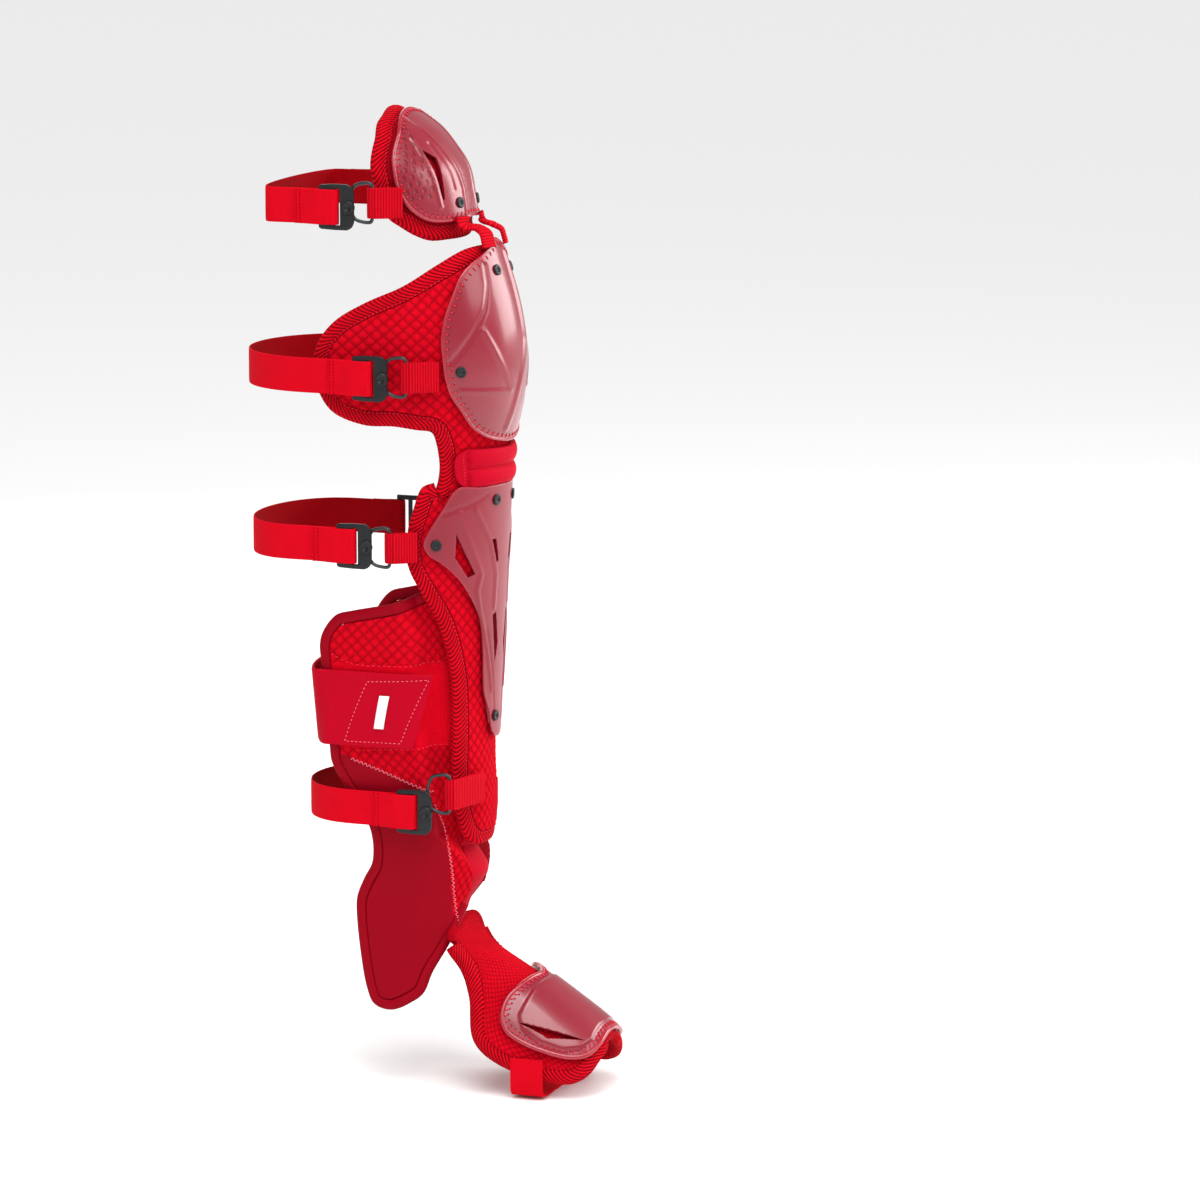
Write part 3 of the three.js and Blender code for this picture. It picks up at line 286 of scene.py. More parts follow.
class Look:
    """One material: its nodes, its colour, gloss and relief."""

    def __init__(self, name):
        self.material = bpy.data.materials.new(name)
        self.material.use_nodes = True
        self.tree = self.material.node_tree
        self.shader = self.tree.nodes["Principled BSDF"]

    def node(self, kind, settings=None, inputs=None, output=0):
        made = self.tree.nodes.new(kind)
        for key, value in (settings or {}).items():
            setattr(made, key, value)
        for key, value in (inputs or {}).items():
            self.feed(made.inputs[key], value)
        return Signal(self, made.outputs[output])

    def feed(self, socket, value):
        if isinstance(value, Signal):
            self.tree.links.new(value.socket, socket)
        elif isinstance(value, tuple) and socket.type == "RGBA":
            socket.default_value = (*value, 1)
        else:
            socket.default_value = value

    def set(self, **values):
        names = {
            "base": "Base Color", "rough": "Roughness", "metal": "Metallic", "coat": "Coat Weight",
            "coat_rough": "Coat Roughness", "normal": "Normal", "specular": "Specular IOR Level",
        }
        for key, value in values.items():
            self.feed(self.shader.inputs[names[key]], value)
        return self

    def mix(self, share, a, b):
        sockets = {"Factor": share, 6: a, 7: b}
        return self.node("ShaderNodeMix", {"data_type": "RGBA"}, sockets, 2)

    def noise(self, scale, detail=2.0, where=None):
        where = where or self.node("ShaderNodeTexCoord", output="Object")
        return self.node("ShaderNodeTexNoise", None, {"Vector": where, "Scale": scale, "Detail": detail})

    def on_piece(self):
        """The piece's own surface coordinates, in metres along it and across it."""
        spread = self.node("ShaderNodeUVMap", {"uv_map": "UVMap"})
        split = self.node("ShaderNodeSeparateXYZ", None, {"Vector": spread}, "X")
        return split, Signal(self, split.socket.node.outputs["Y"])

    def pits(self):
        """Staggered oval dimples between the thigh shell's slot and its side rim."""
        along, across = self.on_piece()
        turn, up = abs(along - 1) * (180 / math.pi / MARK_RADIUS), (across - 1) * (100 / LEG_LENGTH)
        side = turn * (math.pi * 1.02 / 6.5)
        level = (up * 4 + turn * 0.12) * (math.pi / 10.2)
        dots = abs((side + level).sin() * (side - level).sin())
        rim_side = 60.5 - (up - 68).most(0) * 2.4 - (68 - up).most(0) * 1.5
        inside = (turn > 34 + (72 - up) * 0.35) * (turn < rim_side)
        inside = inside * (up > 64.6) * (up < 77.5)
        return self.node("ShaderNodeMapRange", {"interpolation_type": "SMOOTHSTEP"}, {
            "Value": dots, "From Min": 0.58, "From Max": 0.8,
        }) * inside

    def relief(self, height, depth, base=None):
        inputs = {"Height": height, "Distance": depth, "Strength": 1.0}
        if base:
            inputs["Normal"] = base
        return self.node("ShaderNodeBump", None, inputs)


def shell_look(name, colour, deep, rough, coat, dimples=False):
    look = Look(name)
    broad, fine = look.noise(14.0, 3.0), look.noise(900.0, 2.0)
    scuffs = look.noise(120.0, 6.0)
    tone, bump = broad, look.relief(fine, 0.02 * MM)
    if dimples:
        pits = look.pits()
        # The dimples are sunk by bump and also painted in the darker wine colour as the shade inside them.
        tone, bump = broad * (1 - pits) - pits * 1.2, look.relief(pits, -1.1 * MM, bump)
        coat = 0.1 + (1 - pits) * (coat - 0.1)
    return look.set(
        base=look.mix(tone, deep, colour), rough=rough + 0.07 * scuffs + 0.03 * fine, coat=coat,
        coat_rough=0.16, normal=bump,
    )


def quilt_look(name, colour, deep, wide=QUILT_WIDE, tall=QUILT_TALL):
    look = Look(name)
    along, across = look.on_piece()
    lean, counter = along / wide + across / tall, along / wide - across / tall
    puff = (abs((lean * math.pi).sin()) * abs((counter * math.pi).sin())).power(0.5)
    knit = abs((along * (math.pi / (0.9 * MM))).sin()) * abs((across * (math.pi / (0.7 * MM))).sin())
    # The valleys between the puffed cells are painted darker as shade; the knit and the noise are the cloth's
    # own grain.
    tone = (puff * 0.75 + 0.3) * (0.72 + 0.28 * knit) + (look.noise(60.0) - 0.5) * 0.25
    bump = look.relief(knit, 0.25 * MM, look.relief(puff, 0.5 * MM))
    return look.set(base=look.mix(tone, deep, colour), rough=0.9, specular=0.06, normal=bump)


def ribbed_look(name, colour, deep, pitch, lean=0.0, depth=0.5 * MM, rough=0.8):
    look = Look(name)
    along, across = look.on_piece()
    rib = abs(((along + across * lean) * (math.pi / pitch)).sin()).power(1.3)
    thread = abs(((across - along * lean) * (math.pi / (0.8 * MM))).sin())
    # The grooves between the ribs are painted darker as shade; the threads and the noise are the cloth's own
    # grain.
    tone = rib * (0.75 + 0.25 * thread) + (look.noise(80.0) - 0.5) * 0.3
    bump = look.relief(thread, 0.12 * MM, look.relief(rib, depth))
    return look.set(base=look.mix(tone, deep, colour), rough=rough, specular=0.06, normal=bump)


def woven_look(name, colour, deep, thread=0.55 * MM, rough=0.78):
    look = Look(name)
    along, across = look.on_piece()
    warp = abs((across * (math.pi / thread)).sin())
    weft = abs((along * (math.pi / (thread * 1.6))).sin())
    tone = (0.55 + 0.45 * warp) * (0.6 + 0.4 * weft) + (look.noise(70.0, 4.0) - 0.5) * 0.35
    bump = look.relief(warp * weft, 0.16 * MM)
    return look.set(base=look.mix(tone, deep, colour), rough=rough, specular=0.05, normal=bump)


def smooth_look(name, colour, deep, rough=0.62):
    look = Look(name)
    grain, wide = look.noise(1400.0, 2.0), look.noise(25.0, 3.0)
    tone = 0.2 + wide * 0.6 + grain * 0.25
    bump = look.relief(grain, 0.06 * MM, look.relief(wide, 0.6 * MM))
    return look.set(base=look.mix(tone, deep, colour), rough=rough + grain * 0.12, specular=0.06, normal=bump)


def mesh_look(name):
    look = Look(name)
    along, across = look.on_piece()
    pitch = 2.4 * MM
    hole = abs((along * (math.pi / pitch)).sin()) * abs((across * (math.pi / pitch)).sin())
    tone = 1 - (hole > 0.55) * 0.75
    return look.set(
        base=look.mix(tone, (0.004, 0.004, 0.005), (0.03, 0.03, 0.033)), rough=0.85,
        normal=look.relief(hole, -0.4 * MM),
    )


def moulded_look(name, colour, rough):
    look = Look(name)
    grain = look.noise(700.0, 3.0)
    pale = tuple(min(part * 1.8 + 0.004, 1) for part in colour)
    return look.set(
        base=look.mix(look.noise(90.0, 4.0), colour, pale), rough=rough + grain * 0.15, specular=0.3,
        normal=look.relief(grain, 0.04 * MM),
    )


def metal_look(name, colour, rough):
    look = Look(name)
    wear = look.noise(160.0, 5.0)
    pale = tuple(part * 1.6 for part in colour)
    return look.set(base=look.mix(wear, colour, pale), rough=rough + wear * 0.2, metal=1.0)


CRIMSON, WINE = (0.29, 0.002, 0.02), (0.2, 0.001, 0.011)
BRIGHT, BRIGHT_DEEP = (0.8, 0.001, 0.014), (0.24, 0.0, 0.004)
SCARLET, SCARLET_DEEP = (0.78, 0.001, 0.013), (0.17, 0.0, 0.003)
BERRY, BERRY_DEEP = (0.31, 0.0, 0.009), (0.24, 0.0, 0.006)


def looks():
    return {
        "red_shell": shell_look("red_shell", CRIMSON, WINE, 0.26, 0.55),
        "satin_shell": shell_look("satin_shell", (0.28, 0.004, 0.022), (0.22, 0.002, 0.014), 0.34, 0.15),
        "dimpled_shell": shell_look("dimpled_shell", CRIMSON, WINE, 0.26, 0.55, dimples=True),
        # The bead is painted a lighter red than the shell as a painted highlight along the rim.
        "rim": shell_look("rim_bead", (0.4, 0.001, 0.02), (0.3, 0.0, 0.012), 0.2, 0.5),
        "quilted_fabric": quilt_look("quilted_fabric", BRIGHT, BRIGHT_DEEP),
        "fine_quilt": quilt_look("fine_quilt", BRIGHT, BRIGHT_DEEP, 4.4 * MM, 4.4 * MM),
        "rib_binding": ribbed_look("rib_binding", SCARLET, SCARLET_DEEP, 3.3 * MM, 1.0, 0.8 * MM),
        "rib_webbing": ribbed_look(
            "rib_webbing", (0.7, 0.001, 0.013), (0.3, 0.0, 0.005), 2.0 * MM, 0.0, 0.35 * MM,
        ),
        "webbing": woven_look("webbing", (0.76, 0.001, 0.013), (0.42, 0.0, 0.006)),
        # Painted shade for the straps' inner faces and the grooves of their stitching; also the dark red thread
        # of the foot's stitching.
        "painted_shade_and_dark_thread": woven_look("painted_shade_and_dark_thread", (0.36, 0.0, 0.004), (0.2, 0.0, 0.002)),
        "plush": woven_look("plush", BRIGHT, BRIGHT_DEEP, 0.9 * MM, 0.95),
        "smooth_fabric": smooth_look("smooth_fabric", (0.52, 0.0, 0.016), (0.37, 0.0, 0.01)),
        "smooth_binding": smooth_look("smooth_binding", BERRY, BERRY_DEEP, 0.5),
        # The lining on inward faces is painted darker as shade.
        "lining_painted_shade": woven_look("lining_painted_shade", (0.3, 0.0, 0.006), (0.15, 0.0, 0.003), 0.8 * MM),
        "black_mesh": mesh_look("black_mesh"),
        "black_hardware": moulded_look("black_hardware", (0.006, 0.007, 0.008), 0.3),
        "dark_wire": metal_look("dark_wire", (0.05, 0.052, 0.056), 0.3),
        "white_mark": moulded_look("white_mark", (0.8, 0.8, 0.79), 0.4),
        "thread": moulded_look("red_thread", (0.6, 0.006, 0.03), 0.6),
        "pale_thread": moulded_look("pink_thread", (0.72, 0.12, 0.16), 0.6),
        # Dark discs painted as the shade inside the punched holes.
        "hole": moulded_look("punched_hole", (0.1, 0.0, 0.008), 0.8),
    }


# ---- Forms ----

def smooth_table(rows, step):
    """Rows at an even step, on smooth curves through the given ones."""
    keys = [row[0] for row in rows]
    last = len(rows) - 1

    def slope(i, column):
        a, b = max(i - 1, 0), min(i + 1, last)
        return (rows[b][column] - rows[a][column]) / (keys[b] - keys[a])

    table = []
    for count in range(round((keys[-1] - keys[0]) / step) + 1):
        value = keys[0] + count * step
        i = max(i for i in range(last) if keys[i] <= value + 1e-9)
        span = keys[i + 1] - keys[i]
        f = (value - keys[i]) / span
        table.append([
            rows[i][c] * (1 + 2 * f) * (1 - f) ** 2 + slope(i, c) * span * f * (1 - f) ** 2
            + rows[i + 1][c] * f * f * (3 - 2 * f) + slope(i + 1, c) * span * f * f * (f - 1)
            for c in range(1, len(rows[0]))
        ])
    return table


class Form:
    """A skin of the guard, by turn and by place along it, with depths along its normal."""

    def __init__(self, rows, step, skin, reach, side, pace=4):
        self.low, self.step, self.skin, self.reach = rows[0][0], step, skin, reach
        self.side, self.pace = side, pace
        self.table = smooth_table(rows, step)

    def row(self, up):
        place = clamp((up - self.low) / self.step, 0, len(self.table) - 1.001)
        i = int(place)
        return [lerp(a, b, place - i) for a, b in zip(self.table[i], self.table[i + 1])]

    def bare(self, turn, up):
        return self.skin(self.row(up), turn, up)

    def out(self, turn, up):
        row = self.row(up)
        around = self.skin(row, turn + 2, up) - self.skin(row, turn - 2, up)
        rise = self.bare(turn, up + self.reach) - self.bare(turn, up - self.reach)
        return rise.cross(around).normalized() * self.side

    def at(self, turn, up, depth=0.0):
        return self.bare(turn, up) + self.out(turn, up) * depth

    def mark(self, turn, up):
        """The place on a flat pattern, in metres: round the leg, and up it."""
        return math.radians(turn) * MARK_RADIUS + 1, up * LEG_LENGTH / 100 + 1


def u_skin(front, wide, deep):
    def skin(row, turn, up):
        depth = row[2] * deep
        angle, past = math.radians(min(abs(turn), 90)), math.radians(max(abs(turn) - 90, 0))
        x = -math.copysign(row[1] * wide * math.sin(angle), turn)
        y = depth - row[0] * front - depth * math.cos(angle) + depth * past
        return Vector((x, y, up * LEG_LENGTH / 100))
    return skin


def foot_skin(row, turn, place):
    fall = 1 - math.cos(math.radians(turn))
    unit = LEG_LENGTH / 100
    return Vector((
        -row[4] * FOOT_HALF_WIDTH * math.sin(math.radians(turn)),
        lerp(row[0], row[2], fall) * unit, lerp(row[1], row[3], fall) * unit,
    ))


class FootForm(Form):
    def mark(self, turn, place):
        return math.radians(turn) * FOOT_HALF_WIDTH + 1, place * FOOT_PLACE + 1


LEG = Form(LEG_ROWS, 0.05, u_skin(KNEE_FRONT, KNEE_HALF_WIDTH, KNEE_HALF_DEPTH), 2, 1)
THIGH = Form(THIGH_ROWS, 0.05, u_skin(THIGH_FRONT, THIGH_HALF_WIDTH, THIGH_HALF_DEPTH), 0.8, 1)
FOOT = FootForm(FOOT_ROWS, 0.01, foot_skin, 0.4, -1, 24)


def eased_run(points, closed, fine=10):
    """A smooth run through points, on centripetal curves."""
    points = [Vector(point) for point in points]
    count = len(points)
    run = []
    for i in range(count if closed else count - 1):
        if closed:
            p = [points[(i + k) % count] for k in (-1, 0, 1, 2)]
        else:
            first = points[i - 1] if i else points[0] * 2 - points[1]
            after = points[i + 2] if i + 2 < count else points[-1] * 2 - points[-2]
            p = [first, points[i], points[i + 1], after]
        knots = [0.0]
        for a, b in zip(p, p[1:]):
            knots.append(knots[-1] + max((b - a).length ** 0.5, 1e-6))
        for k in range(fine):
            t = lerp(knots[1], knots[2], k / fine)
            a = [
                (p[j] * (knots[j + 1] - t) + p[j + 1] * (t - knots[j])) / (knots[j + 1] - knots[j])
                for j in range(3)
            ]
            b = [
                (a[j] * (knots[j + 2] - t) + a[j + 1] * (t - knots[j])) / (knots[j + 2] - knots[j])
                for j in range(2)
            ]
            run.append((b[0] * (knots[2] - t) + b[1] * (t - knots[1])) / (knots[2] - knots[1]))
    return run if closed else run + [points[-1]]


def even(spots, place, count, closed):
    """The same run at an even pace: spots are moved to equal steps of the length that place gives."""
    ring = spots + spots[:1] if closed else spots
    where = [place(spot) for spot in ring]
    ways = [0.0]
    for a, b in zip(where, where[1:]):
        ways.append(ways[-1] + (b - a).length)
    made, i = [], 0
    for k in range(count + (0 if closed else 1)):
        goal = ways[-1] * k / count
        while i < len(ways) - 2 and ways[i + 1] < goal:
            i += 1
        share = clamp((goal - ways[i]) / max(ways[i + 1] - ways[i], 1e-9))
        made.append(ring[i].lerp(ring[i + 1], share))
    return made


def outline(form, knots, count, closed):
    unit = 52 if form is FOOT else 4
    run = [Vector((x, y / unit)) for x, y in eased_run([(turn, up * unit) for turn, up in knots], closed)]
    return even(run, lambda spot: form.bare(*spot), count, closed)


def inset(form, run, distance, closed, steps=4):
    """Moves an outline inwards over the form."""
    last, step = len(run) - 1, 0.05
    for _ in range(steps):
        moved = []
        for i, (turn, up) in enumerate(run):
            before = run[(i - 1) % (last + 1)] if closed else run[max(i - 1, 0)]
            after = run[(i + 1) % (last + 1)] if closed else run[min(i + 1, last)]
            around = (form.bare(turn + step, up) - form.bare(turn - step, up)) / (2 * step)
            rise = (form.bare(turn, up + step) - form.bare(turn, up - step)) / (2 * step)
            tangent = (form.bare(*after) - form.bare(*before)).normalized()
            move = tangent.cross(around.cross(rise).normalized()) * (distance / steps * form.side)
            aa, ar, rr = around.dot(around), around.dot(rise), rise.dot(rise)
            ma, mr = move.dot(around), move.dot(rise)
            scale = 1 / max(aa * rr - ar * ar, 1e-12)
            moved.append(Vector((turn + (ma * rr - mr * ar) * scale, up + (mr * aa - ma * ar) * scale)))
        run = moved
    return run


def mirrored(half):
    """An open run from end to end, clockwise as seen from the front."""
    other = [(-turn, up) for turn, up in reversed(half)]
    return other[:-1] + half if half[0][0] == 0 else half + other[1:]


def closed_by(run, turn, up, count=40):
    """An open run with a straight line of points across its two ends."""
    side = 1 if run[-1][0] > 0 else -1
    return run + [Vector((lerp(side * turn, -side * turn, k / count), up)) for k in range(count + 1)]


def four(top_turn, top, low_turn, low):
    """Corners of a patch, clockwise from the upper one on the outer side."""
    return (top_turn, top), (low_turn, low), (-low_turn, low), (-top_turn, top)


def whole_loop(half):
    return half + [(-turn, up) for turn, up in reversed(half[1:-1])]


class Patch:
    """A smooth net inside a closed outline, with corners nearest to the given spots."""

    def __init__(self, loop, corners):
        count = len(loop)
        marks = []
        for turn, up in corners:
            gaps = [(abs(spot[0] - turn) * 0.25) ** 2 + (spot[1] - up) ** 2 for spot in loop]
            mark = gaps.index(min(gaps))
            while marks and mark <= marks[-1]:
                mark += count
            marks.append(mark)
        marks.append(marks[0] + count)
        self.sides = [[loop[k % count] for k in range(a, b + 1)] for a, b in zip(marks, marks[1:])]

    def along(self, side, share):
        run = self.sides[side]
        place = clamp(share) * (len(run) - 1)
        i = min(int(place), len(run) - 2)
        return run[i].lerp(run[i + 1], place - i)

    def at(self, s, t):
        right, low = self.along(0, 1 - t), self.along(1, 1 - s)
        left, high = self.along(2, t), self.along(3, s)
        a, b, c, d = self.sides[2][0], self.sides[1][0], self.sides[3][0], self.sides[0][0]
        flat = a * (1 - s) * (1 - t) + b * s * (1 - t) + c * (1 - s) * t + d * s * t
        return low * (1 - t) + high * t + left * (1 - s) + right * s - flat


# ---- Making pieces ----


def finish_piece(name, bm, look, stands_for=(), extra=()):
    """Makes a mesh an object of the guard in its looks, parented to the root, and hides the imported parts it
    stands for.
    """
    for face in bm.faces:
        face.smooth = True
    mesh = bpy.data.meshes.new(name)
    bm.to_mesh(mesh)
    bm.free()
    for one in (look, *extra):
        mesh.materials.append(looked[one].material)
    piece = bpy.data.objects.new(name, mesh)
    bpy.context.collection.objects.link(piece)
    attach(piece, "root")
    if stands_for:
        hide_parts(*stands_for)
    return piece


def net(columns, rows, wall, place, mark):
    """A grid laid over place(s, t, back), with a second face when it is a wall."""
    bm = bmesh.new()
    bmesh.ops.create_grid(bm, x_segments=columns, y_segments=rows, size=0.5)
    backs = set()
    if wall:
        made = bmesh.ops.extrude_face_region(bm, geom=bm.faces[:], use_keep_orig=True)
        backs = {part for part in made["geom"] if isinstance(part, bmesh.types.BMVert)}
    spread = bm.loops.layers.uv.new("UVMap")
    flat = {vert: (vert.co.x + 0.5, vert.co.y + 0.5) for vert in bm.verts}
    for face in bm.faces:
        for loop in face.loops:
            loop[spread].uv = mark(*flat[loop.vert])
    for vert in bm.verts:
        vert.co = place(*flat[vert], vert in backs)
    return bm


def wall(form, patch, columns, rows, outer, inner):
    """A bent wall inside a patch, from one depth to another. Depths are numbers or made from (turn, up)."""
    def place(s, t, back):
        turn, up = patch.at(s, t)
        depth = inner if back else outer
        return form.at(turn, up, depth(turn, up) if callable(depth) else depth)

    bm = net(columns, rows, True, place, lambda s, t: form.mark(*patch.at(s, t)))
    bmesh.ops.recalc_face_normals(bm, faces=bm.faces)
    return bm


def tube(centres, rises, section, closed, sides):
    """A roll along centres: rises point out of it, and section(angle) gives (across, out)."""
    count = len(centres)
    frames, ways = [], [0.0]
    for i, centre in enumerate(centres):
        before = centres[(i - 1) % count] if closed else centres[max(i - 1, 0)]
        after = centres[(i + 1) % count] if closed else centres[min(i + 1, count - 1)]
        tangent = (after - before).normalized()
        across = rises[i].cross(tangent).normalized()
        frames.append((centre, across, tangent.cross(across)))
        if i:
            ways.append(ways[-1] + (centre - centres[i - 1]).length)
    rows = count if closed else count - 1
    ways.append(ways[-1] + (centres[0] - centres[-1]).length)

    def place(s, t, back):
        centre, across, rise = frames[round(t * rows) % count]
        x, y = section(s * math.tau, t)
        return centre + across * x + rise * y

    def mark(s, t):
        x, y = section(s * math.tau, t)
        return ways[round(t * rows)] + 1, math.copysign(abs(x) ** 0.999, x) + (y if y < 0 else -y) + 1

    bm = net(sides, rows, False, place, mark)
    bmesh.ops.remove_doubles(bm, verts=bm.verts, dist=1e-7)
    if not closed:
        bmesh.ops.holes_fill(bm, edges=[edge for edge in bm.edges if edge.is_boundary], sides=0)
    bmesh.ops.recalc_face_normals(bm, faces=bm.faces)
    return bm


def oval(width, thick, square=2.4):
    """A rounded section: square is 2 for an ellipse, and more for squarer ones."""
    def swell(value):
        return math.copysign(abs(value) ** (2 / square), value)

    return lambda angle, t: (swell(math.cos(angle)) * width / 2, swell(math.sin(angle)) * thick / 2)


def roll(form, run, depth, width, thick, closed, sides=18, square=2.4):
    depth_of = depth if callable(depth) else (lambda turn, up: depth)
    centres = [form.at(turn, up, depth_of(turn, up)) for turn, up in run]
    rises = [form.out(turn, up) for turn, up in run]
    return tube(centres, rises, oval(width, thick, square), closed, sides)


def quilted(form, base, wide=QUILT_WIDE, tall=QUILT_TALL, rise=QUILT_RISE):
    """A depth that puffs up in offset cells."""
    def depth(turn, up):
        along, across = form.mark(turn, up)
        lean, counter = along / wide + across / tall, along / wide - across / tall
        puff = abs(math.sin(lean * math.pi) * math.sin(counter * math.pi)) ** 0.5
        return (base(turn, up) if callable(base) else base) + (puff - 0.6) * rise
    return depth


def stitches(name, pairs, radius, look):
    """Short threads, each from one point to another."""
    bm = bmesh.new()
    for a, b in pairs:
        way = b - a
        turned = way.to_track_quat("X", "Z").to_matrix().to_4x4()
        size = Matrix.Diagonal((way.length / 2, radius, radius, 1))
        bmesh.ops.create_uvsphere(
            bm, u_segments=6, v_segments=4, radius=1, matrix=Matrix.Translation((a + b) / 2) @ turned @ size,
        )
    return finish_piece(name, bm, look)


def laid_on(form, lift, scale=1):
    """A way to place (turn, up * scale) at a lift over a form: lift is a number or made from (turn, up)."""
    def place(spot):
        turn, up = spot[0], spot[1] / scale
        return form.at(turn, up, lift(turn, up) if callable(lift) else lift)
    return place


def run_length(run, place):
    return sum((place(b) - place(a)).length for a, b in zip(run, run[1:]))


def seam(form, knots, pitch, share, lift):
    """Pairs of points for a dashed seam along knots on a form."""
    run = [Vector((turn, up * 4)) for turn, up in knots]
    if len(run) > 2:
        run = eased_run(run, False)
    place = laid_on(form, lift, 4)
    spots = even(run, place, max(round(run_length(run, place) / pitch), 2), False)
    return [(place(a), place(a.lerp(b, share))) for a, b in zip(spots, spots[1:])]


def stitch_line(form, run, depth, pitch, closed):
    """Pairs of points for a dashed seam along an outline."""
    place = laid_on(form, depth)
    spots = even(run, place, round(run_length(run, place) / pitch), closed)
    return [(place(a), place(a.lerp(b, STITCH_SHARE))) for a, b in zip(spots, spots[1:])]


def zigzag(form, knots, pitch, width, lift):
    """Pairs of points for a zigzag seam along knots on a form."""
    run = [Vector((turn, up * 4)) for turn, up in knots]
    place = laid_on(form, lift, 4)
    spots = [place(spot) for spot in even(run, place, max(round(run_length(run, place) / pitch), 2), False)]
    pairs = []
    for i, (a, b) in enumerate(zip(spots, spots[1:])):
        side = (b - a).cross(Vector((-1, 0, 0))).normalized() * (width / 2 if i % 2 else -width / 2)
        pairs.append((a - side, b + side))
    return pairs


# ---- Pads, shells, wings and foot ----

def bound_panel(name, form, edge, closed, count, columns, rows, corners, ends=None):
    """A quilted pad with a ribbed roll and a row of stitches round its edge."""
    run = outline(form, whole_loop(edge) if closed else mirrored(edge), count, closed)
    line = inset(form, run, BINDING_WIDTH / 2, closed)
    bm = roll(form, line, BINDING_DEPTH, BINDING_WIDTH, BINDING_THICK, closed)
    finish_piece(f"{name}_edge_roll", bm, "rib_binding", [f"{name}_binding"])
    inside = inset(form, run, BINDING_WIDTH - 0.8 * MM, closed)
    if ends:
        inside = closed_by(inside, *ends)
    patch = Patch(inside, corners)
    bm = wall(form, patch, columns, rows, quilted(form, PAD_OUTER - 0.4 * MM), PAD_INNER)
    shade_back(bm)
    finish_piece(
        f"{name}_quilted_pad", bm, "quilted_fabric", [f"{name}_pad"],
        ("lining_painted_shade",),
    )
    line = inset(form, run, BINDING_WIDTH - 2.2 * MM, closed)
    pairs = stitch_line(form, line, BINDING_DEPTH + 0.44 * BINDING_THICK, 3.2 * MM, closed)
    stitches(f"{name}_edge_stitching", pairs, 0.32 * MM, "thread")


def looks_in(face, middle=30 * MM):
    """Whether a face looks towards the leg, whose axis lies this far behind the guard's."""
    centre = face.calc_center_median()
    return face.normal.dot(Vector((centre.x, centre.y - middle, 0))) < 0


def shade_back(bm):
    """Gives the faces that look inwards the lining cloth, painted darker as shade."""
    for face in bm.faces:
        face.material_index = 1 if looks_in(face) else 0


def pads():
    bound_panel("thigh", THIGH, THIGH_EDGE, True, 220, 96, 74, four(52, 76, 62, 61))
    bound_panel("knee", LEG, KNEE_EDGE, False, 420, 200, 110, four(128, 38, 126, 29.5), (52, 12.4))
    bound_panel("shin", LEG, SHIN_EDGE, False, 340, 80, 190, four(56, 13.2, 40, -50), (56, 13.2))
    run = outline(LEG, mirrored(KNEE_EDGE), 260, False)
    inside = closed_by(inset(LEG, run, BINDING_WIDTH + 2.5 * MM, False), 50, 13.8)
    patch = Patch(inside, four(126, 38, 124, 29.5))
    bm = wall(LEG, patch, 120, 70, LINING_OUTER, LINING_OUTER - LINING_THICK)
    finish_piece("knee_mesh_lining", bm, "black_mesh", ["knee_lining"])

    cuff = outline(LEG, whole_loop(CUFF_EDGE), 120, True)

    def outer(turn, up):
        rolls = abs(math.sin((up - 12.4) / 3.5 * math.pi)) ** 0.6
        rise = CUFF_RISE * math.cos(math.radians(turn)) ** 2 + 1.2 * MM
        groove = 1.3 * MM * ease(1 - abs(abs(turn) - 41) / 2.2)
        return -SHELL_THICK + rise * lerp(0.35, 1, rolls if abs(turn) < 41 else 0.25) - groove

    bm = wall(LEG, Patch(cuff, four(46, 19.3, 45, 12.8)), 90, 60, outer, PAD_OUTER + 2 * GAP)
    finish_piece("padded_cuff", bm, "smooth_fabric", ["shin_cuff"])
    rows = seam(LEG, [(44.5, 13.4), (45, 18.9)], 2.6 * MM, 0.6, lambda t, u: outer(t, u) + 0.1 * MM)
    stitches("cuff_seam_stitching", rows, 0.3 * MM, "thread")


def line_gap(spot, knots, pace):
    """The distance from a spot to a bent line, in hundredths of the leg's length."""
    best = 1e9
    for (ax, ay), (bx, by) in zip(knots, knots[1:]):
        a, b = Vector((ax * 0.25, ay * pace)), Vector((bx * 0.25, by * pace))
        way = b - a
        share = clamp((spot - a).dot(way) / way.dot(way))
        best = min(best, (spot - a - way * share).length)
    return best


def within(knots, turn, up):
    hits = [
        (a[1] > up) != (b[1] > up) and turn < (b[0] - a[0]) * (up - a[1]) / (b[1] - a[1]) + a[0]
        for a, b in zip(knots, knots[1:])
    ]
    return sum(hits) % 2 == 1


def relief(base, lines, pace=1.0):
    """Raised and sunken lines on a shell: each has knots, a width in hundredths and a height.

    A line that comes back to its start lifts all that lies within it."""
    def depth(turn, up):
        spot = Vector((turn * 0.25, up * pace))
        height = base
        for knots, width, rise in lines:
            gap = line_gap(spot, knots, pace)
            if knots[0] == knots[-1]:
                height += rise * ease(0.5 + gap / width * (0.5 if within(knots, turn, up) else -0.5))
            elif gap < width:
                height += rise * ease(1 - gap / width)
        return height
    return depth


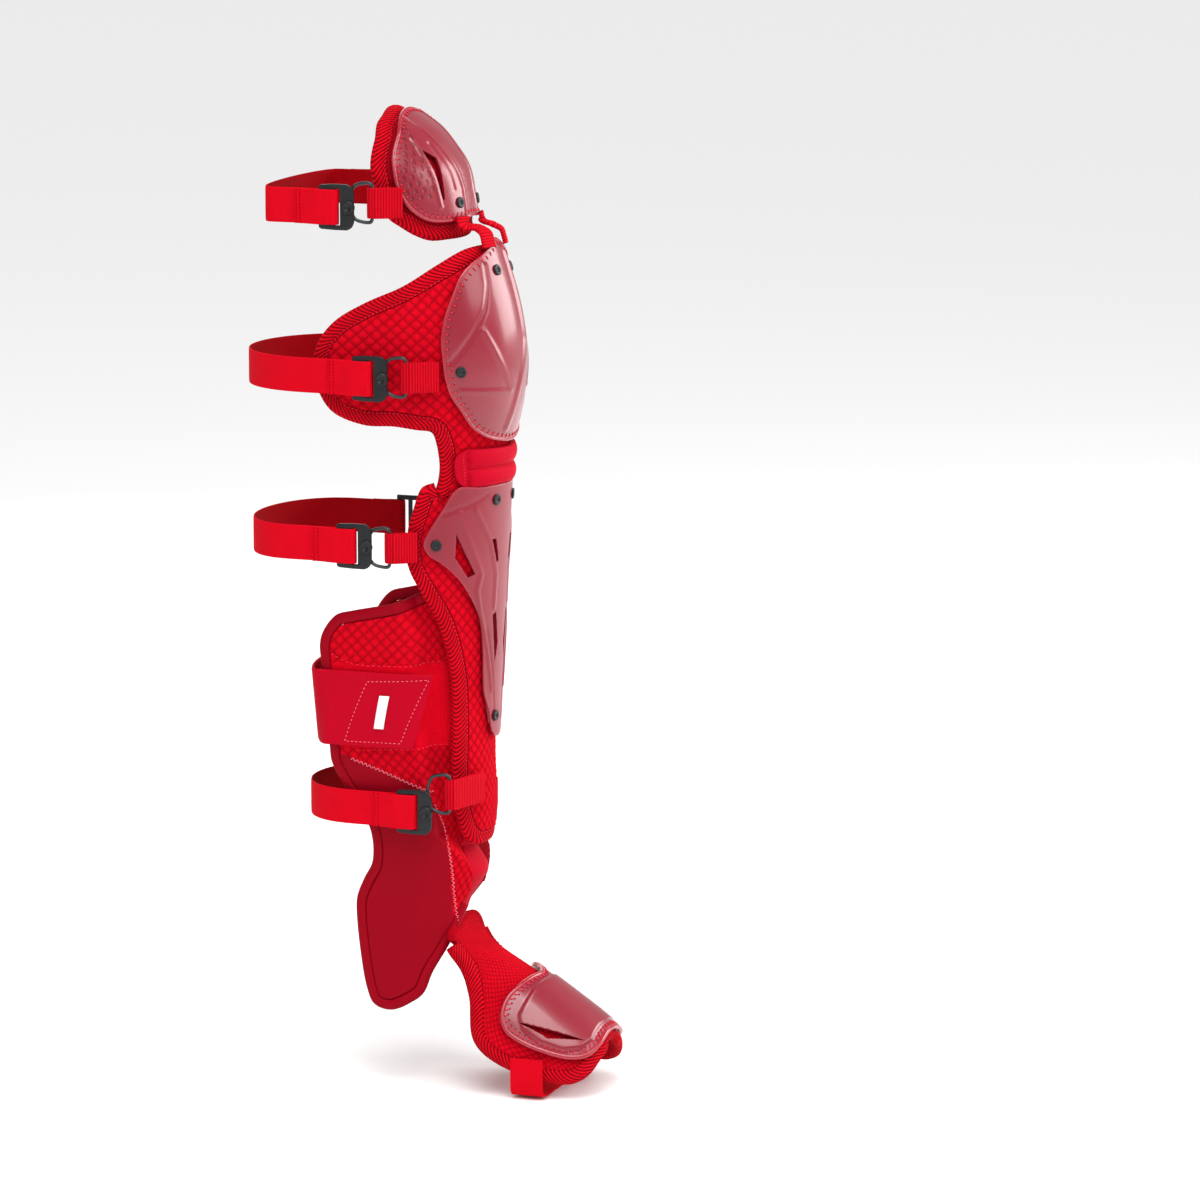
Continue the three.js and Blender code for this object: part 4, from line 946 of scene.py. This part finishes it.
def cut_windows(piece, form, windows):
    """Cuts openings through a shell with prisms that stand on the form."""
    for corners in windows:
        bm = bmesh.new()
        low = [bm.verts.new(form.at(turn, up, -8 * MM)) for turn, up in corners]
        face = bm.faces.new(low)
        made = bmesh.ops.extrude_face_region(bm, geom=[face])
        high = [part for part in made["geom"] if isinstance(part, bmesh.types.BMVert)]
        turn, up = (sum(corner[k] for corner in corners) / len(corners) for k in (0, 1))
        bmesh.ops.translate(bm, verts=high, vec=form.out(turn, up) * 26 * MM)
        bmesh.ops.recalc_face_normals(bm, faces=bm.faces)
        mesh = bpy.data.meshes.new("window")
        bm.to_mesh(mesh)
        bm.free()
        cutter = bpy.data.objects.new("window", mesh)
        bpy.context.collection.objects.link(cutter)
        cut = piece.modifiers.new("window", "BOOLEAN")
        cut.operation, cut.object, cut.solver = "DIFFERENCE", cutter, "EXACT"
        bpy.context.view_layer.update()
        graph = bpy.context.evaluated_depsgraph_get()
        carved = bpy.data.meshes.new_from_object(piece.evaluated_get(graph))
        piece.modifiers.clear()
        old = piece.data
        piece.data = carved
        carved.name = old.name
        bpy.data.meshes.remove(old)
        bpy.data.objects.remove(cutter)


def both(corners):
    return [corners, [(-turn, up) for turn, up in corners]]


def both_lines(lines):
    return lines + [([(-turn, up) for turn, up in knots], width, rise) for knots, width, rise in lines]


def shell(name, form, edge, columns, rows, look, lines, corners, windows=(), rim=2.8 * MM):
    """A moulded shell with relief, windows and a bead round its rim."""
    on_foot = form is FOOT
    loop = outline(form, edge if on_foot else whole_loop(edge), 260, True)
    top = TOE_SEAT + SHELL_THICK if on_foot else 0.0
    depth = relief(top, lines, form.pace / 4)
    bm = wall(form, Patch(loop, corners), columns, rows, depth, TOE_SEAT if on_foot else -SHELL_THICK)
    piece = finish_piece(f"{name}_moulded_shell", bm, look, [f"{name}_shell"])
    cut_windows(piece, form, windows)
    bead = roll(form, inset(form, loop, rim * 0.35, True), top - 0.9 * MM, rim, rim, True, 12, 2.0)
    finish_piece(f"{name}_rim_bead", bead, "rim")
    return loop, top


def whip_stitches(name, form, loop, top, pitch, depth=5.2 * MM):
    """Threads that pass over the shell's rim, out of a row of punched holes."""
    place = laid_on(form, 0.0)
    count = round(run_length(loop, place) / pitch)
    rim, holes = even(loop, place, count, True), even(inset(form, loop, depth, True), place, count, True)
    pairs = []
    bm = bmesh.new()
    for a, b in zip(rim, holes):
        pairs.append((form.at(*b, top + 0.15 * MM), form.at(*a.lerp(b, 0.5), top + 0.7 * MM)))
        turned = form.out(*b).to_track_quat("Z", "Y").to_matrix().to_4x4()
        seat = Matrix.Translation(form.at(*b, top + 0.06 * MM)) @ turned
        # Each punched hole is a dark disc laid on the shell: painted shade standing in for the hole.
        bmesh.ops.create_circle(bm, cap_ends=True, segments=8, radius=0.75 * MM, matrix=seat)
    stitches(f"{name}_whip_stitching", pairs, 0.45 * MM, "thread")
    finish_piece(f"{name}_punched_holes", bm, "hole")


def shells():
    lines = both_lines([
        ([(22, 79), (14, 73), (9, 66), (10, 61)], 0.7, 0.9 * MM),
        ([(23, 74), (20, 69), (19, 66)], 0.6, -0.7 * MM), ([(36, 75), (36, 70), (34, 63)], 0.6, 0.7 * MM),
    ])
    loop, top = shell(
        "thigh", THIGH, THIGH_SHELL_EDGE, 130, 110, "dimpled_shell", lines, four(46, 75.8, 50, 61.3),
        both([(33, 73.8), (24, 72.2), (30, 64), (32, 64)]),
    )
    whip_stitches("thigh", THIGH, loop, top, 5 * MM)

    creases = [
        ([(24, 52.5), (26, 49.25), (33, 44.75), (41, 41.5), (51, 38), (58, 35.75)], 0.75, -1.0 * MM),
        ([(36, 41.25), (26, 36), (14, 30.25)], 0.9, 0.9 * MM), ([(14, 29.75), (51, 30.5)], 0.8, 0.5 * MM),
    ]
    keel = ([(-9, 54), (-7, 46), (-7, 38.75), (4, 30), (12, 23)], 1.2, 1.4 * MM)
    lines = both_lines(creases)
    lines.insert(len(creases), keel)
    loop, top = shell("knee", LEG, KNEE_SHELL_EDGE, 110, 150, "red_shell", lines, four(40, 52, 38, 23))
    whip_stitches("knee", LEG, loop, top, 5.6 * MM)

    lines = both_lines([
        ([(48, 8), (40, 3), (28, -3.5), (31, -6.5), (28, -10.25), (19, -17.75), (12, -25.5)], 0.8, 1.0 * MM),
        ([(35, 8.25), (19, 1.75), (12, -4), (13, -10)], 0.8, 0.9 * MM),
        ([(60, 8), (40, 9.5), (26, 11)], 0.7, -0.5 * MM),
        ([(20, -14), (12, -22), (7, -31)], 0.7, -0.6 * MM),
    ])
    windows = [
        *both([(51, 4.3), (51, -0.2), (39, -4), (32, -3.4), (44, 1.3)]),
        *both([(20, 2.6), (14, 2.6), (9, -1.6), (12, -1.9)]),
        *both([(15, -11.5), (10, -11), (5, -17), (9, -20.5)]),
    ]
    shell(
        "shin", LEG, SHIN_SHELL_EDGE, 92, 184, "satin_shell", lines, four(50, 12.5, 15, -29), windows,
        2.0 * MM,
    )

    plateau = [
        (50, 4.1), (24, 4.1), (0, 4.2), (-24, 4.1), (-50, 4.0), (-59, 4.6), (-58, 5.3), (-53, 5.75),
        (-42, 6.05), (0, 6.25), (42, 6.1), (54, 5.8), (60, 5.35), (61, 4.75), (57, 4.3), (50, 4.1),
    ]
    loop, top = shell(
        "toe", FOOT, TOE_SHELL_EDGE, 110, 90, "red_shell", [(plateau, 0.5, 1.4 * MM)],
        ((-58, 3.3), (58, 3.7), (56, 6.3), (-56, 6.3)), both([(57, 4.1), (57, 4.9), (41, 6)]), 4 * MM,
    )
    whip_stitches("toe", FOOT, loop, top, 4.6 * MM, 6 * MM)


def wing_depth(turn, up):
    tuck = WING_TUCK[0][1]
    for (low, a), (high, b) in zip(WING_TUCK, WING_TUCK[1:]):
        if up >= low:
            tuck = lerp(a, b, clamp((up - low) / (high - low)))
    return lerp(UNDER_PAD, WING_OUTER, ease((abs(turn) - tuck - 3) / 16))


def wing_part(turn, up):
    """What covers a wing at a place: 2 the smooth flap, 3 the plush strip, and 0 the quilted cloth."""
    if up < -38 - (127 - abs(turn)) * 0.095 and abs(turn) > 37 + (up + 69.25) * 1.45:
        return 2
    return 3 if -36 < up < -20.2 else 0


def wing_at(rise):
    return lambda turn, up: wing_depth(turn, up) + rise


def wing_face(turn, up):
    return wing_depth(turn, up) + 0.3 * MM if wing_part(turn, up) else quilted(LEG, wing_depth)(turn, up)


def wings():
    for side, edge, name in ((1, WING_EDGE, "calf_wing_outer"), (-1, INNER_WING_EDGE, "calf_wing_inner")):
        def turned(spots):
            return [Vector((side * turn, up)) for turn, up in spots]

        run = outline(LEG, edge, 300, False)
        line = turned(inset(LEG, run, WING_BINDING_WIDTH / 2, False))[::side]
        bm = roll(LEG, line, wing_at(-WING_THICK / 2), WING_BINDING_WIDTH, WING_BINDING_THICK, False)
        finish_piece(f"{name}_edge_roll", bm, "smooth_binding", [f"{name}_binding"])
        inside = inset(LEG, run, WING_BINDING_WIDTH + 0.1 * MM, False)
        front = eased_run([tuple(inside[-1]), *WING_FRONT_SEWN, tuple(inside[0])], False)[1:-1]
        patch = Patch(turned(inside + front), turned(((136, -14), (118, -82), (24, -65), (50, -14))))
        bm = wall(LEG, patch, 84, 212, wing_face, wing_at(-WING_THICK))
        spread = bm.loops.layers.uv.active
        # Faces that look inwards take the lining, painted darker as shade.
        for face in bm.faces:
            mark = sum((loop[spread].uv for loop in face.loops), Vector((0, 0))) / len(face.loops)
            turn, up = math.degrees((mark.x - 1) / MARK_RADIUS), (mark.y - 1) * 100 / LEG_LENGTH
            face.material_index = 1 if looks_in(face) else wing_part(turn, up)
        finish_piece(
            f"{name}_quilted_pad", bm, "quilted_fabric", [name],
            ("lining_painted_shade", "smooth_binding", "plush"),
        )
        lift, pairs = wing_at(0.5 * MM), []
        for knots in (
            ((135, -18.6), (120, -20.3), (90, -20.3), (52, -20)), ((122, -36.5), (88, -35.75), (46, -35.5)),
        ):
            pairs += seam(LEG, turned(knots), 4.2 * MM, STITCH_SHARE, lift)
        stitches(f"{name}_panel_stitching", pairs, 0.4 * MM, "thread")
        pairs, end = [], (34, -68.5) if side > 0 else (46, -61.5)
        for knots in (((128, -38.1), (107, -40), (87, -42), (69, -43.8)), ((70, -46), (66, -49.25), end)):
            pairs += zigzag(LEG, turned(knots), 1.7 * MM, 2.6 * MM, lift)
        stitches(f"{name}_flap_stitching", pairs, 0.35 * MM, "pale_thread")


def ankle_and_foot():
    def depth(turn, up):
        hollow = 9 * MM * ease((-60 - up) / 8)
        return lerp(UNDER_PAD, WING_OUTER, ease((-55.3 - up) / 5)) - hollow

    loop = outline(LEG, whole_loop(ANKLE_EDGE), 140, True)
    patch = Patch(loop, four(30, -48.5, 18, -67))
    bm = wall(LEG, patch, 60, 90, depth, lambda turn, up: depth(turn, up) - 6 * MM)
    finish_piece("ankle_smooth_pad", bm, "smooth_fabric", ["ankle_pad"])

    run = outline(FOOT, mirrored(FOOT_EDGE), 280, False)
    line = inset(FOOT, run, BINDING_WIDTH / 2, False)
    bm = roll(FOOT, line[::-1], -BINDING_THICK * 0.4, BINDING_WIDTH, BINDING_THICK * 0.85, False)
    finish_piece("foot_edge_roll", bm, "rib_binding", ["foot_binding"])
    loop = closed_by(inset(FOOT, run, BINDING_WIDTH - 2.6 * MM, False), 70, 0.06)
    patch = Patch(loop, ((70, 0.06), (64, 6.1), (-64, 6.1), (-70, 0.06)))
    bm = wall(FOOT, patch, 120, 130, quilted(FOOT, -0.9 * MM, 4.4 * MM, 4.4 * MM, 0.5 * MM), -6 * MM)
    finish_piece("foot_quilted_pad", bm, "fine_quilt", ["foot_pad"])
    rise = (-0.4 + 0.44 * 0.85) * BINDING_THICK
    pairs = stitch_line(FOOT, inset(FOOT, run, BINDING_WIDTH - 2.2 * MM, False), rise, 3.2 * MM, False)
    stitches("foot_edge_stitching", pairs, 0.4 * MM, "painted_shade_and_dark_thread")


# ---- Straps, their hooks, rings and sliders ----

FOLD = (HOOK_THICK + STRAP_THICK) / 2 + GAP
TAB_FOLD = (RING_WIRE + TAB_THICK) / 2 + GAP
SLIDER_LENGTH = 3 * SLIDER_BAR + 2 * SLOT_LENGTH
SLOT_HEIGHT = STRAP_WIDTH + 2 * GAP
PLATE_HEIGHT = SLOT_HEIGHT + 2 * HOOK_ARM


def turn_back(u, v, radius, facing):
    """A half turn of webbing round a bar, in (u, v)."""
    angles = [k / 8 * math.pi for k in range(9)]
    return [(u - facing * math.sin(angle) * radius, v + math.cos(angle) * radius) for angle in angles]


def sewn_end(plate_length, bar):
    """A strap's end, from its sewn tip round the bar of a plate and back along itself."""
    laid = STRAP_THICK + GAP - FOLD
    return [
        (plate_length + STRAP_FOLD, laid), (plate_length + STRAP_FOLD * 0.7, laid),
        (plate_length + STRAP_FOLD * 0.3, FOLD * 0.55), (plate_length + 1 * MM, FOLD),
        *turn_back(plate_length - bar, 0, FOLD, 1),
        (plate_length + 1 * MM, -FOLD), (plate_length + STRAP_FOLD, -FOLD),
    ]


def directions(centres):
    """The way along a run of points, at each of them."""
    last = len(centres) - 1
    return [centres[min(i + 1, last)] - centres[max(i - 1, 0)] for i in range(last + 1)]


def ribbon(plan, middle, width, thick, rows):
    """A flat strap on edge along plan points, at one height."""
    run = even([Vector((x, y, 0)) for x, y in plan], lambda spot: spot, rows, False)
    centres = [Vector((spot.x, spot.y, middle)) for spot in run]
    rises = [Vector((-way.y, way.x, 0)).normalized() for way in directions(centres)]
    return tube(centres, rises, oval(width, thick, 7), False, 24)


def plate(stations, half_heights, slots, thick):
    """A flat plate in (u, height): stations along it, its half height there, and the slotted bays."""
    bm = bmesh.new()
    inner, count = SLOT_HEIGHT / PLATE_HEIGHT, len(stations) - 1
    levels = (-1, -inner, inner, 1)
    bmesh.ops.create_grid(bm, x_segments=count, y_segments=3, size=0.5)
    bays = []
    for face in bm.faces:
        centre = face.calc_center_median()
        if int((centre.x + 0.5) * count) in slots and abs(centre.y) < 0.1:
            bays.append(face)
    for vert in bm.verts:
        i, j = round((vert.co.x + 0.5) * count), round((vert.co.y + 0.5) * 3)
        vert.co = Vector((stations[i], levels[j] * half_heights[i], -thick / 2))
    bmesh.ops.delete(bm, geom=bays, context="FACES")
    made = bmesh.ops.extrude_face_region(bm, geom=bm.faces[:], use_keep_orig=True)
    raised = [part for part in made["geom"] if isinstance(part, bmesh.types.BMVert)]
    bmesh.ops.translate(bm, verts=raised, vec=(0, 0, thick))
    bmesh.ops.recalc_face_normals(bm, faces=bm.faces)
    sharp = [edge for edge in bm.edges if edge.calc_face_angle(0) > 0.5]
    bmesh.ops.bevel(
        bm, geom=sharp, offset=0.5 * MM, segments=2, profile=0.5, affect="EDGES", material=-1,
        clamp_overlap=True,
    )
    return bm


def stand_up(bm, side, x, y, z):
    """Turns a flat plate on edge, with its length along the strap."""
    basis = Matrix(((0, 0, 1, side * x), (1, 0, 0, y), (0, 1, 0, z), (0, 0, 0, 1)))
    bmesh.ops.transform(bm, matrix=basis, verts=bm.verts)
    return bm


def hook_plate():
    full = PLATE_HEIGHT / 2
    shares = [(0, 0.62), (0.7, 0.76), (1.8, 0.87), (3.4, 0.95), (5.4, 1.0)]
    slot_start = HOOK_LENGTH - HOOK_BAR - HOOK_SLOT
    stations = [u * MM for u, _ in shares]
    stations += [slot_start, HOOK_LENGTH - HOOK_BAR, HOOK_LENGTH - 2 * MM, HOOK_LENGTH]
    heights = [share * full for _, share in shares] + [full, full, full * 0.97, full * 0.9]
    bm = plate(stations, heights, {5}, HOOK_THICK)
    spin_knob(bm, Vector((4 * MM, 0, -HOOK_THICK / 2)), 4.9 * MM, 2.2 * MM)
    return bm


def slider_plate():
    bay = SLIDER_BAR + SLOT_LENGTH
    stations = [0, SLIDER_BAR, bay, SLIDER_BAR + bay, SLIDER_LENGTH - SLIDER_BAR, SLIDER_LENGTH]
    return plate(stations, [PLATE_HEIGHT / 2] * 6, {1, 3}, HOOK_THICK)


def spin_profile(bm, centre, profile, steps, near):
    """A round solid, turned from (radius, height) points about its own axis."""
    verts = [bm.verts.new(centre + Vector((radius, 0, height))) for radius, height in profile]
    edges = [bm.edges.new(pair) for pair in zip(verts, verts[1:])]
    bmesh.ops.spin(
        bm, geom=verts + edges, cent=centre, axis=(0, 0, 1), angle=math.tau, steps=steps, use_merge=True,
        use_duplicate=False,
    )
    bmesh.ops.remove_doubles(bm, verts=bm.verts, dist=near)
    bmesh.ops.recalc_face_normals(bm, faces=bm.faces)


def spin_knob(bm, centre, radius, rise):
    """A round knob with a dished middle."""
    profile = [(0.0, 0.35), (0.35, 0.35), (0.5, 0.8), (0.8, 1.0), (1.0, 0.75), (1.0, -0.4)]
    spin_profile(bm, centre, [(radius * r, -rise * h) for r, h in profile], 20, 1e-6)


def ring_wire(x, y, z):
    """A D-shaped wire ring, on edge."""
    half, tall = RING_LENGTH / 2, (RING_HEIGHT - RING_WIRE) / 2
    upper = [(-1, 0.8), (-0.85, 1), (0, 1), (0.6, 0.85), (0.93, 0.45)]
    knots = [(-1, 0), *upper, (1, 0), *[(y_, -z_) for y_, z_ in reversed(upper)]]
    run = eased_run([(0, y_ * half, z_ * tall) for y_, z_ in knots], True, 8)
    centres = [spot + Vector((x, y, z)) for spot in run]
    return tube(centres, [Vector((1, 0, 0))] * len(centres), oval(RING_WIRE, RING_WIRE, 2), True, 12)


def tab_plan(form, turn, up, seat, bar_x, bar_y, side):
    """A webbing tab in plan, from the pad round a bar and back to the pad."""
    def skin(lift):
        spot = form.at(turn, up, seat + lift)
        return side * abs(spot.x), spot.y

    def place(u, v):
        return side * (bar_x + v), bar_y + u

    under = GAP + TAB_THICK / 2
    return [
        skin(under + TAB_THICK + GAP), place(-TAB_FOLD * 1.5, TAB_FOLD),
        *[place(u, v) for u, v in turn_back(0, 0, TAB_FOLD, -1)],
        place(-TAB_FOLD * 1.5, -TAB_FOLD), skin(under),
    ]


def strap_sets():
    unit = LEG_LENGTH / 100
    for name, (up, tab_up, turn, far_turn, *shares) in STRAPS.items():
        half, hook_y, slider_y, back = [share * KNEE_HALF_WIDTH for share in shares]
        form, seat = (THIGH, 0.0) if name == "thigh" else (LEG, PAD_OUTER + GAP)
        plate_x = half + FOLD
        bend = max(hook_y + HOOK_LENGTH, slider_y + SLIDER_LENGTH) + STRAP_FOLD * 1.4
        near = [(-(plate_x + v), hook_y + u) for u, v in sewn_end(HOOK_LENGTH, HOOK_BAR)]
        far = [(plate_x + v, slider_y + u) for u, v in reversed(sewn_end(SLIDER_LENGTH, SLIDER_BAR))]
        rear = [
            (-half * math.cos(k / 28 * math.pi), bend + (back - bend) * math.sin(k / 28 * math.pi) ** 0.8)
            for k in range(29)
        ]
        plan = [tuple(spot) for spot in eased_run(near + rear + far, False, 4)]
        middle, tab_middle = up * unit, tab_up * unit
        bm = ribbon(plan, middle, STRAP_WIDTH, STRAP_THICK, 260)
        # Faces past the fold that look inwards take the darker webbing, as painted shade.
        for face in bm.faces:
            centre = face.calc_center_median()
            past_the_fold = centre.x > 0 or centre.y > hook_y + HOOK_LENGTH + STRAP_FOLD
            face.material_index = 1 if looks_in(face, 20 * MM) and past_the_fold else 0
        finish_piece(f"{name}_elastic_strap", bm, "webbing", [f"{name}_strap"], ("painted_shade_and_dark_thread",))
        bm = stand_up(hook_plate(), -1, plate_x, hook_y, middle)
        finish_piece(f"{name}_moulded_hook", bm, "black_hardware", [f"{name}_hook"])
        bm = stand_up(slider_plate(), 1, plate_x, slider_y, middle)
        finish_piece(f"{name}_moulded_slider", bm, "black_hardware", [f"{name}_slider"])
        ring_x = plate_x - (HOOK_THICK + RING_WIRE) / 2 - GAP
        ring_y = hook_y + RING_OVERLAP - RING_LENGTH / 2
        finish_piece(f"{name}_wire_ring", ring_wire(-ring_x, ring_y, tab_middle), "dark_wire", [f"{name}_ring"])
        plan = tab_plan(form, turn, tab_up, seat, ring_x, ring_y - RING_LENGTH / 2, -1)
        bm = ribbon(plan, tab_middle, TAB_WIDTH, TAB_THICK, 60)
        finish_piece(f"{name}_outer_tab", bm, "rib_webbing", [f"{name}_tab_outer"])
        plan = tab_plan(form, far_turn, up, seat, plate_x, slider_y + SLIDER_BAR, 1)
        bm = ribbon(plan, middle, TAB_WIDTH, TAB_THICK, 60)
        finish_piece(f"{name}_inner_tab", bm, "rib_webbing", [f"{name}_tab_inner"])
        sewn = []
        x = -(plate_x + STRAP_THICK / 2 + STRAP_THICK + GAP - FOLD) - 0.1 * MM
        for row in (STRAP_FOLD - 1.6 * MM, STRAP_FOLD - 4.4 * MM):
            for k in range(10):
                z = middle - STRAP_WIDTH / 2 + (k + 0.2) * STRAP_WIDTH / 10
                y = hook_y + HOOK_LENGTH + row
                sewn.append((Vector((x, y, z)), Vector((x, y, z + 1.6 * MM))))
        # The strap's stitching is drawn dark as the painted shade of its groove.
        stitches(f"{name}_strap_stitching", sewn, 0.35 * MM, "painted_shade_and_dark_thread")


def band_way(turn, up):
    spot = LEG.at(turn, up, BAND_DEPTH + BAND_THICK / 2)
    return spot.x, spot.y


def band_path(start, up, rows):
    turns = [76, 86, 100, 120, 136, 145]
    knots = [band_way(turn, up) for turn in [start] + [turn for turn in turns if turn > start]]
    knots += [(0, 1.246 * KNEE_HALF_WIDTH)] + [band_way(-turn, up) for turn in (145, 136, 120, 100)]
    return even(eased_run(knots, False, 12), lambda spot: spot, rows, False)


def small_webbing():
    rows, unit = 210, LEG_LENGTH / 100
    low, high, start, slant = -35.5, -21.5, 62, 16
    lows, highs = band_path(start + slant, low, rows), band_path(start, high, rows)

    def place(s, t, back):
        i = round(s * rows)
        spots = [lows[k].lerp(highs[k], t) for k in (max(i - 1, 0), i, min(i + 1, rows))]
        way = spots[2] - spots[0]
        out = Vector((-way.y, way.x)).normalized() * BAND_THICK / 2
        rim = clamp(min(s * rows / 2.5, t * 56 / 1.5, (1 - t) * 56 / 1.5)) * 0.4 + 0.6
        spot = spots[1] - out * rim if back else spots[1] + out * rim
        return Vector((spot.x, spot.y, lerp(low, high, t) * unit))

    bm = net(rows, 40, True, place, lambda s, t: (s * 0.3 + 1, t * 0.056 + 1))
    bmesh.ops.recalc_face_normals(bm, faces=bm.faces)
    finish_piece("calf_closing_band", bm, "smooth_fabric", ["calf_band"])
    lift = BAND_DEPTH + BAND_THICK + 0.1 * MM
    frame_knots = [(107, -23.2), (65, -22.4), (86, -34.4), (128, -34.6), (107, -23.2)]
    pairs = []
    for a, b in zip(frame_knots, frame_knots[1:]):
        pairs += seam(LEG, [a, b], 3.4 * MM, 0.6, lift)
    stitches("band_frame_stitching", pairs, 0.3 * MM, "pale_thread")
    corners = [(91, -25.6), (98, -25.6), (104, -31.8), (97, -31.8)]
    patch = Patch([Vector(corner) for corner in corners], corners)
    bm = wall(LEG, patch, 8, 16, lift + 1.4 * MM, lift + 0.4 * MM)
    finish_piece("band_slanted_bar", bm, "white_mark", ["band_badge"])

    for name, turn in (("link_outer", 17), ("link_inner", -17)):
        lift = GAP / 4 + TAB_THICK * 0.8
        knots = [
            THIGH.at(turn, 61, lift), THIGH.at(turn, 59.6, lift + 1.6 * MM),
            LEG.at(turn, 59, lift - 4 * MM), LEG.at(turn, 57.9, lift + 1 * MM),
            LEG.at(turn, 56.6, lift + 0.8 * MM), LEG.at(turn, 55.4, lift + 0.2 * MM),
        ]
        centres = even(eased_run(knots, False, 10), lambda spot: spot, 40, False)
        across = Vector((-math.cos(math.radians(turn)), math.sin(math.radians(turn)), 0))
        rises = [across.cross(way).normalized() for way in directions(centres)]
        bm = tube(centres, rises, oval(LINK_WIDTH, TAB_THICK * 1.6, 3.2), False, 20)
        finish_piece(f"{name}_webbing", bm, "rib_webbing", [name])

    half = abs(FOOT.bare(90, 4.6).x) + GAP + STRAP_THICK / 2
    floor = -96 * unit - 10 * MM
    knots = [
        (-1, -91.5 * unit), (-1, -95 * unit), (-0.97, floor + 2 * MM), (-0.88, floor), (-0.4, floor), (0, floor),
    ]
    knots += [(-x, z) for x, z in reversed(knots[:-1])]
    run = eased_run([(x * half, FOOT.bare(90, 4.6).y, z) for x, z in knots], False, 10)
    centres = even(run, lambda spot: spot, 120, False)
    rises = [Vector((way.z, 0, -way.x)).normalized() for way in directions(centres)]
    bm = tube(centres, rises, oval(STRAP_WIDTH, STRAP_THICK, 7), False, 20)
    finish_piece("sole_elastic_band", bm, "webbing", ["sole_band"])


def fixings():
    profile = [
        (0, 0.5), (1.2, 0.5), (1.68, 1.2), (3.2, 1.5), (4, 1.0), (4, 0.15), (2, 0.15), (2, -2.0), (0, -2.0),
    ]
    for name, spots in RIVETS.items():
        form = THIGH if name == "thigh" else LEG
        for number, (turn, up) in enumerate(spots, 1):
            bm = bmesh.new()
            spin_profile(bm, Vector((0, 0, 0)), [(radius * MM, rise * MM) for radius, rise in profile], 24, 1e-7)
            turned = form.out(turn, up).to_track_quat("Z", "Y").to_matrix().to_4x4()
            seat = Matrix.Translation(form.at(turn, up, 0.1 * MM)) @ turned
            bmesh.ops.transform(bm, matrix=seat, verts=bm.verts)
            finish_piece(f"{name}_domed_rivet_{number}", bm, "black_hardware", [f"{name}_rivet_{number}"])


studio()
looked = looks()
pads()
shells()
wings()
ankle_and_foot()
strap_sets()
small_webbing()
fixings()
